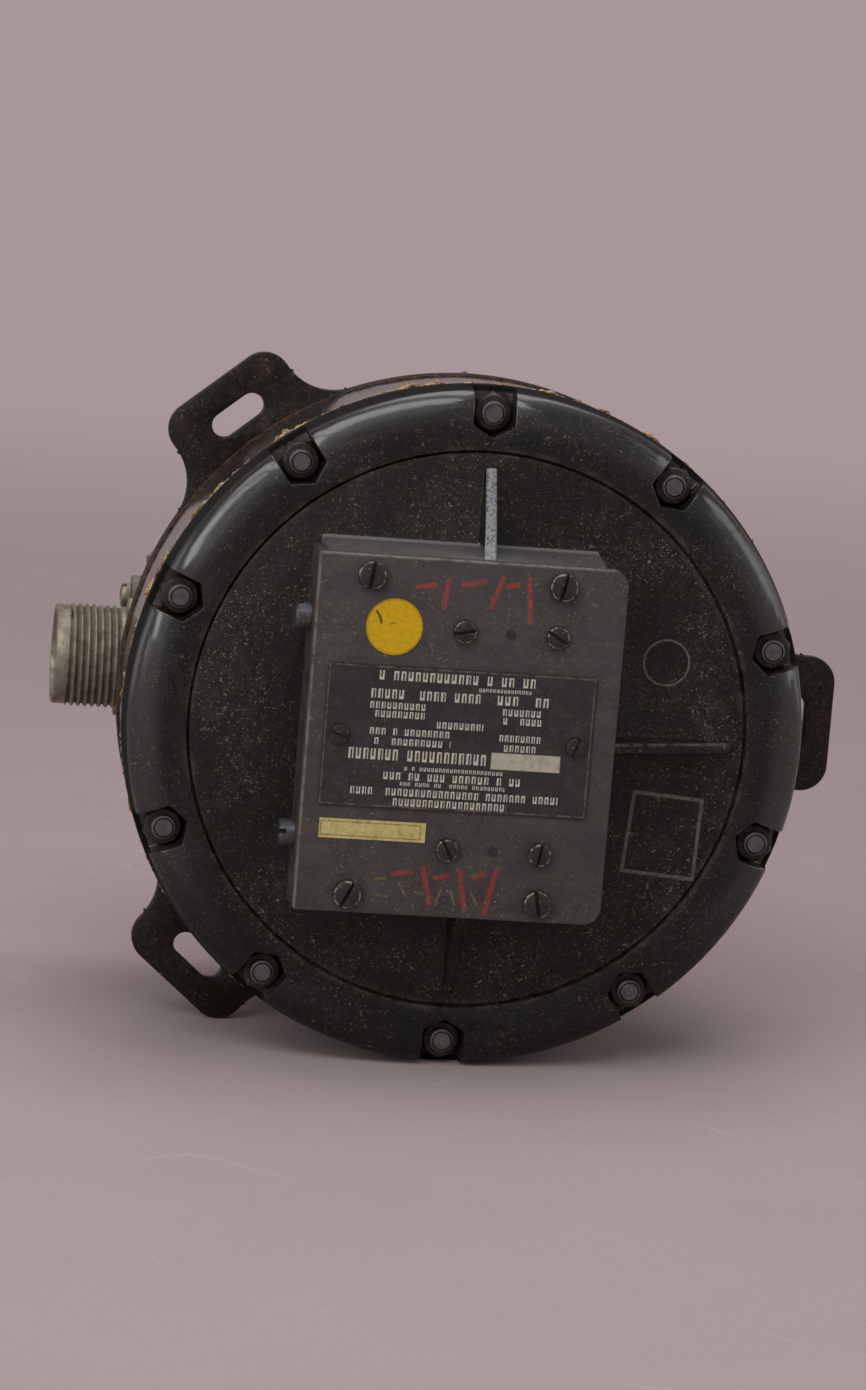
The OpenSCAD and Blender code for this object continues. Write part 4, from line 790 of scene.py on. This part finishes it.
def softened(name, node, width, slot, sharp_past=None):
    """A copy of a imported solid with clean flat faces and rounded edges, but for those past a height in mm."""
    obj = copy_of(NODES[node], name)
    edit(obj, everything=True)
    bpy.ops.mesh.remove_doubles(threshold=2 * SAME_SPOT)
    bpy.ops.mesh.dissolve_limited(angle_limit=math.radians(1.0), use_dissolve_boundaries=False)
    leave()
    if sharp_past is None:
        round_edges(obj, width)
    else:
        edit(obj, "EDGE")
        pick(obj, "edges", lambda centre, edge: (centre.y > -sharp_past * MM
                                                 and edge.calc_face_angle(0.0) > math.radians(SHARP)))
        bpy.ops.mesh.bevel(offset=width, segments=2, clamp_overlap=False, miter_outer="ARC")
        leave()
    settle(obj, slot, node)


class TRANSMITTER_OT_cover(bpy.types.Operator):
    """Round the moulded cover's edges"""
    bl_idname = "transmitter.cover"
    bl_label = "Front cover"

    def execute(self, context):
        # the walls' front edges stay sharp under the lid: a rounding there would cross the ribs' crests
        softened("cover_moulding", "front_cover", context.scene.transmitter_sizes.cover_edge,
                 "cover_plastic", sharp_past=44.6)
        return {"FINISHED"}


class TRANSMITTER_OT_box(bpy.types.Operator):
    """Round the edges of the compensator box's lid and side plate"""
    bl_idname = "transmitter.box"
    bl_label = "Compensator box"

    def execute(self, context):
        edge = context.scene.transmitter_sizes.lid_edge
        lid = block("box_lid", (BOX_LEFT, BOX_LOW, LID_BACK), (BOX_RIGHT, BOX_HIGH, LID_FRONT))
        for side, radius in ((BOX_RIGHT, 3.0), (BOX_LEFT, 0.6)):
            edit(lid, "EDGE")
            pick(lid, "edges", lambda centre, item: stands(item) and abs(centre.x - side * MM) < NEAR)
            bpy.ops.mesh.bevel(offset=radius * MM, segments=8)
            leave()
        round_edges(lid, edge, 3, 50)
        place(lid, CASE)
        settle(lid, "box_plate", "box_cover")
        softened("box_side", "side_plate", edge, "box_plate")
        return {"FINISHED"}


class TRANSMITTER_OT_mounting_plate(bpy.types.Operator):
    """Round the edges of the mounting plate and its three slotted lugs"""
    bl_idname = "transmitter.mounting_plate"
    bl_label = "Mounting plate"

    def execute(self, context):
        softened("lug_plate", "mounting_plate", context.scene.transmitter_sizes.plate_edge, "plate_enamel")
        return {"FINISHED"}


class TRANSMITTER_OT_cap_nuts(bpy.types.Operator):
    """Model one crowned nut and set ten copies in the cover's pockets"""
    bl_idname = "transmitter.cap_nuts"
    bl_label = "Cap nuts"

    def execute(self, context):
        flats = context.scene.transmitter_sizes.nut_flats / MM
        nut = disc("nut_blank", flats / math.sqrt(3), 2.4, 0, 6)
        edit(nut, "VERT", everything=True)
        bpy.ops.transform.rotate(value=math.radians(30), orient_axis="Z", center_override=(0, 0, 0))
        leave()
        bpy.ops.mesh.primitive_cone_add(vertices=64, radius1=(flats / 2 + 1.75) * MM,
                                        radius2=(flats / 2 - 0.15) * MM, depth=3.4 * MM,
                                        location=(0, 0, 0.7 * MM))
        cut(nut, made("chamfer"), "INTERSECT")
        crown = disc("crown", 2.08, 1.5, 2.3, 48)
        edit(crown)
        pick(crown, "faces", lambda centre, normal: normal.z > 0.9)
        bpy.ops.mesh.inset(thickness=0.36 * MM)
        bpy.ops.mesh.extrude_region_move(TRANSFORM_OT_translate={"value": (0, 0, 0.16 * MM)})
        bpy.ops.mesh.inset(thickness=0.1 * MM)
        leave()
        round_edges(crown, 0.22 * MM, 3, 50)
        round_edges(nut, 0.1 * MM, 2, 30)
        join(nut, crown)
        pocket_floor = 29.7
        for number, angle in enumerate(STUD_ANGLES, 1):
            piece = copy_of(nut, "cap_nut_%d" % number)
            # the nuts don't stand quite alike
            slack = 3.5 * math.sin(number * 2.3)
            place(piece, CASE @ turned(angle) @ shifted(STUD_R, 0, pocket_floor) @ turned(slack))
            settle(piece, "nut_steel", "cap_nuts")
        drop(nut)
        return {"FINISHED"}


def slotted_screw(name, head_r, head_h, shank_r, shank_len, slot_w, dome=0.18):
    """A slotted fillister head on its shank, z = 0 under the head, in millimetres."""
    head = disc(name, head_r, head_h, 0, 48)
    edit(head)
    pick(head, "faces", lambda centre, normal: normal.z > 0.9)
    for share in (0.3, 0.3, 0.25):
        bpy.ops.mesh.inset(thickness=head_r * share * 0.9 * MM)
        bpy.ops.transform.translate(value=(0, 0, dome * share * head_h * MM))
    pick(head, "faces", lambda centre, normal: normal.z < -0.9)
    bpy.ops.mesh.inset(thickness=(head_r - shank_r) * MM)
    bpy.ops.mesh.extrude_region_move(TRANSFORM_OT_translate={"value": (0, 0, -shank_len * MM)})
    leave()
    round_edges(head, 0.16 * head_h * MM, 3, 50)
    cut(head, block("slot", (-head_r - 1, -slot_w / 2, head_h * 0.5), (head_r + 1, slot_w / 2, head_h + 2)))
    return round_edges(head, 0.05 * MM, 1, 60)


class TRANSMITTER_OT_screws(bpy.types.Operator):
    """Model the slotted screws of the box, the data plate, the socket and the rear cover"""
    bl_idname = "transmitter.screws"
    bl_label = "Slotted screws"

    def execute(self, context):
        def sow(screw, node, slot, drawing, z, spots):
            """Sets copies of a screw at (x, y, turn) on one level of a drawing."""
            for number, (x, y, turn) in enumerate(spots, 1):
                piece = copy_of(screw, "%s_%d" % (node[:-1], number))
                place(piece, drawing @ shifted(x, y, z) @ turned(turn))
                settle(piece, slot, node)
            drop(screw)

        left, right, low, high = -20.7, 12.3, -27.2, 28.0
        sow(slotted_screw("corner_blank", 2.45, 1.75, 1.35, 9.6, 0.62), "corner_box_screws", "box_screws",
            CASE, LID_FRONT, [(left, low, 64), (left, high, 82), (right, low, 100), (right, high, 78)])
        left, right, low, high = -4.05, 12.05, -18.6, 19.3
        sow(slotted_screw("bearing_blank", 2.0, 1.4, 1.05, 5.4, 0.5), "bearing_screws", "box_screws",
            CASE, LID_FRONT, [(left, high, 12), (right, high, 150), (left, low, 118), (right, low, 80)])
        reach, plate_front = 20.45, LID_FRONT + 0.5
        sow(slotted_screw("plate_blank", 1.7, 0.8, 0.75, 1.8, 0.42), "data_plate_screws", "box_screws",
            CASE, plate_front, [(PLATE_X - reach, PLATE_Y, -20), (PLATE_X + reach, PLATE_Y, 70)])
        reach = 10.3
        sow(slotted_screw("socket_blank", 2.3, 1.8, 1.15, 4.6, 0.6), "connector_screws", "connector_olive",
            SOCKET, SOCKET_FACE, [(side * reach, over * reach, 30 + 50 * side + 20 * over)
                                  for side in (-1, 1) for over in (-1, 1)])
        reach, rear = 35.5, -46.9
        flip = CASE @ shifted(0, 0, rear) @ turned(180, "X")
        angles = [math.radians(30 + 60 * number) for number in range(6)]
        sow(slotted_screw("rear_blank", 2.0, 1.3, 1.05, 6.6, 0.5), "rear_cover_screws", "stud_steel",
            flip, 0, [(reach * math.cos(angle), reach * math.sin(angle), 15 + 37 * number)
                      for number, angle in enumerate(angles)])
        return {"FINISHED"}


def torn_ring(name, node, inner, outer, base, top, rag):
    """A flat gasket ring whose outer edge is torn: cloud noise pushes it in and out, except on the floor."""
    rows = 4
    side = [(outer, base + (top - base) * i / rows) for i in range(rows + 1)]
    obj = lathe(name, [(inner, base), *side, (inner, top)], steps=1200)
    place(obj, CASE)
    edit(obj, "VERT")
    pick(obj, "verts", lambda centre, item: math.hypot(centre.x, centre.z) > (outer - 1.2) * MM
         and centre.z > FLOOR_Z + 5 * MM)
    obj.vertex_groups.new(name="edge")
    bpy.ops.object.vertex_group_assign()
    leave()
    for size, strength, middle in ((0.004, rag, 0.56), (0.0008, rag * 0.5, 0.5)):
        noise = bpy.data.textures.new(name + "_noise", "CLOUDS")
        noise.noise_scale, noise.noise_depth = size, 3
        modify(obj, "DISPLACE", texture=noise, texture_coords="GLOBAL", vertex_group="edge",
               strength=strength, mid_level=middle)
    obj.vertex_groups.clear()
    settle(obj, "cork", node, smooth=60)


class TRANSMITTER_OT_corks(bpy.types.Operator):
    """Model the torn cork gaskets above and below the case ring"""
    bl_idname = "transmitter.corks"
    bl_label = "Cork gaskets"

    def execute(self, context):
        rag = context.scene.transmitter_sizes.cork_rag
        torn_ring("upper_cork", "cover_cork", 51.6, 60.0, 24.9, 26.5, rag)
        torn_ring("lower_cork", "plate_cork", 51.5, 59.3, 2.4, 3.9, rag * 0.2)
        return {"FINISHED"}


class TRANSMITTER_OT_socket(bpy.types.Operator):
    """Model the socket's square flange and threaded barrel"""
    bl_idname = "transmitter.socket"
    bl_label = "Plug socket"

    def execute(self, context):
        sizes = context.scene.transmitter_sizes
        pitch, deep = sizes.thread_pitch / MM, sizes.thread_depth / MM
        crest, bore, face, mouth = 9.525, 8.05, SOCKET_FACE, SOCKET_MOUTH
        root = crest - deep
        shell = lathe("socket_body", [
            (bore, 46.5), (8.55, 46.5), (8.55, 53.7), (9.3, 53.7), (9.3, face + 2.3), (root, face + 2.7),
            (root, mouth - 2.9), (9.05, mouth - 2.6), (9.2, mouth - 2.45), (9.2, mouth - 0.35),
            (9.05, mouth - 0.1), (8.85, mouth), (8.35, mouth), (8.15, mouth - 0.1), (bore, mouth - 0.4)], 120)
        sunk, foot, flank = root - 0.12, root + 0.04, crest - 0.06
        ridge = lathe("thread", [(sunk, 0), (sunk, pitch * 0.96), (foot, pitch * 0.9), (flank, pitch * 0.6),
                                 (crest, pitch * 0.54), (crest, pitch * 0.42), (flank, pitch * 0.36),
                                 (foot, pitch * 0.06)], 96, pitch, turns=10)
        edit(ridge, "VERT", everything=True)
        bpy.ops.transform.translate(value=(0, 0, (face + 0.6) * MM))
        for height, keep_low in ((mouth - 2.75, True), (face + 2.6, False)):
            bpy.ops.mesh.select_all(action="SELECT")
            bpy.ops.mesh.bisect(plane_co=(0, 0, height * MM), plane_no=(0, 0, 1), use_fill=True,
                                clear_outer=keep_low, clear_inner=not keep_low)
        leave()
        outwards(ridge)
        half = 13.9
        flange = block("flange", (-half, -half, 53.6), (half, half, face))
        cut(flange, disc("bore", 8.3, 6, 51, 64))
        edit(flange, "EDGE")
        corner = (half - 0.1) * MM
        pick(flange, "edges", lambda centre, item: (stands(item) and abs(centre.x) > corner
                                                    and abs(centre.y) > corner))
        bpy.ops.mesh.bevel(offset=2 * MM, segments=8)
        leave()
        round_edges(flange, 0.25 * MM, 2, 40)
        join(shell, ridge, flange)
        place(shell, SOCKET)
        settle(shell, "connector_olive", "connector_shell", smooth=40)
        return {"FINISHED"}


class TRANSMITTER_OT_stage(bpy.types.Operator):
    """Set the floor and backdrop, the lamps, the world and the camera"""
    bl_idname = "transmitter.stage"
    bl_label = "Photo stage"

    def execute(self, context):
        settings = context.scene.transmitter_stage
        bpy.ops.mesh.primitive_circle_add(vertices=96, radius=settings.floor_radius, fill_type="NGON",
                                          location=(0, 0, FLOOR_Z))
        floor = made("stage_floor")
        f = Finish("stage_paper", Specular_IOR_Level=0.2, Roughness=0.85)
        plain_floor, patch, grain, pale = (shade(settings.floor, share) for share in (1.0, 0.95, 0.84, 1.5))
        paper = f.mix(f.cloud(60, 4, 0.6).fade(0.3, 0.7), plain_floor, patch)
        paper = f.mix(f.cloud(0.9, 3, 0.7).fade(0.35, 0.65) * 0.4, paper, grain)
        scuff = abs(f.cloud(70, 1) - 0.5).fade(0.006, 0.001) * f.cloud(30, 2).fade(0.54, 0.66)
        f.set(Base_Color=f.mix(scuff * 0.14, paper, pale))
        # far from the object the floor shows the backdrop's own colour
        seen = f.node("LightPath", output="Is Camera Ray")
        for ray in ("Is Glossy Ray", "Is Transmission Ray"):
            seen = seen.most(f.node("LightPath", output=ray))
        far = (f.x * f.x + f.z * f.z).root().fade(300, 1200) * seen
        glow = f.node("Emission", None, {"Color": shade(settings.backdrop)})
        blend = f.node("MixShader", None, {0: far, 1: Wire(f, f.shader.outputs[0]), 2: glow})
        f.feed(f.output, {"Surface": blend})
        floor.data.materials.append(f.material)

        yaw, tilt, lean = math.radians(7.744), math.radians(8.758), math.radians(3.645)
        aim = Vector((-6.622, -34.5, 6.128)) * MM
        ahead = Vector((math.sin(yaw) * math.cos(tilt), math.cos(yaw) * math.cos(tilt), -math.sin(tilt)))
        side = Vector((math.cos(yaw), -math.sin(yaw), 0))
        over = side.cross(ahead)
        right = side * math.cos(lean) + over * math.sin(lean)
        up = over * math.cos(lean) - side * math.sin(lean)
        bpy.ops.object.camera_add(location=aim - ahead * settings.distance)
        camera = bpy.context.object
        camera.name = "camera"
        turn = Matrix((right, up, -ahead)).transposed().to_4x4()
        camera.matrix_world = Matrix.Translation(aim - ahead * settings.distance) @ turn
        camera.data.lens = settings.focal
        camera.data.clip_start, camera.data.clip_end = 0.02, 20
        context.scene.camera = camera

        lamps = (("key", (-0.5, -0.95, 1.1), 1.4, 0.6, 0.9), ("strip", (-0.85, -1.15, 0.4), 0.5, 0.75, 0.45),
                 ("fill", (1.15, -0.85, 0.6), 0.7, 0.8, 0.3), ("top", (0.1, 0.1, 1.25), 0.9, 0.9, 0.55),
                 ("left", (-1.2, -0.1, 0.25), 0.7, 0.7, 0.16), ("right", (1.2, -0.2, 0.2), 0.5, 0.7, 0.1))
        for name, spot, wide, tall, share in lamps:
            bpy.ops.object.light_add(type="AREA", location=spot)
            lamp = bpy.context.object
            lamp.name = "lamp_" + name
            lamp.data.shape, lamp.data.size, lamp.data.size_y = "RECTANGLE", wide, tall
            lamp.data.energy = settings.light * share
            lamp.rotation_euler = (Vector((0, -0.01, 0)) - Vector(spot)).to_track_quat("-Z", "Y").to_euler()
        world = bpy.data.worlds.new("studio")
        context.scene.world = world
        world.use_nodes = True
        sky = Nodes(world.node_tree)
        towards = sky.node("TexCoord", output="Generated")
        backwards = sky.node("SeparateXYZ", None, {0: towards}, 1)
        backdrop = shade(settings.backdrop)
        room = sky.mix(backwards.fade(-0.1, 0.4), shade((1.0, 0.965, 0.97), settings.room), backdrop)
        room = sky.mix(sky.node("LightPath", output="Is Camera Ray"), room, backdrop)
        light = sky.node("Background", None, {"Color": room})
        sky.feed(sky.tree.nodes.new("ShaderNodeOutputWorld"), {"Surface": light})
        context.scene.view_settings.view_transform = "Standard"
        return {"FINISHED"}


STEPS = (TRANSMITTER_OT_dress_solids, TRANSMITTER_OT_cover, TRANSMITTER_OT_box, TRANSMITTER_OT_mounting_plate,
         TRANSMITTER_OT_cap_nuts, TRANSMITTER_OT_screws, TRANSMITTER_OT_corks, TRANSMITTER_OT_socket,
         TRANSMITTER_OT_stage)


class TRANSMITTER_PT_pieces(bpy.types.Panel):
    """Lists the transmitter's pieces and settings"""
    bl_idname = "TRANSMITTER_PT_pieces"
    bl_label = "Heading transmitter"
    bl_space_type = "VIEW_3D"
    bl_region_type = "UI"
    bl_category = "Transmitter"

    def draw(self, context):
        for group in (context.scene.transmitter_sizes, context.scene.transmitter_colours,
                      context.scene.transmitter_stage):
            box = self.layout.box()
            for key in group.__annotations__:
                box.prop(group, key)
        for step in STEPS:
            self.layout.operator(step.bl_idname)


CLASSES = (PieceSizes, FinishColours, StageSettings, *STEPS, TRANSMITTER_PT_pieces)


def register():
    for item in CLASSES:
        bpy.utils.register_class(item)
    bpy.types.Scene.transmitter_sizes = PointerProperty(type=PieceSizes)
    bpy.types.Scene.transmitter_colours = PointerProperty(type=FinishColours)
    bpy.types.Scene.transmitter_stage = PointerProperty(type=StageSettings)


def unregister():
    del bpy.types.Scene.transmitter_stage
    del bpy.types.Scene.transmitter_colours
    del bpy.types.Scene.transmitter_sizes
    for item in reversed(CLASSES):
        bpy.utils.unregister_class(item)


def main():
    """Registers the add-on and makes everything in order."""
    register()
    for step in STEPS:
        group, name = step.bl_idname.split(".")
        getattr(getattr(bpy.ops, group), name)()


if __name__ == "__main__":
    main()
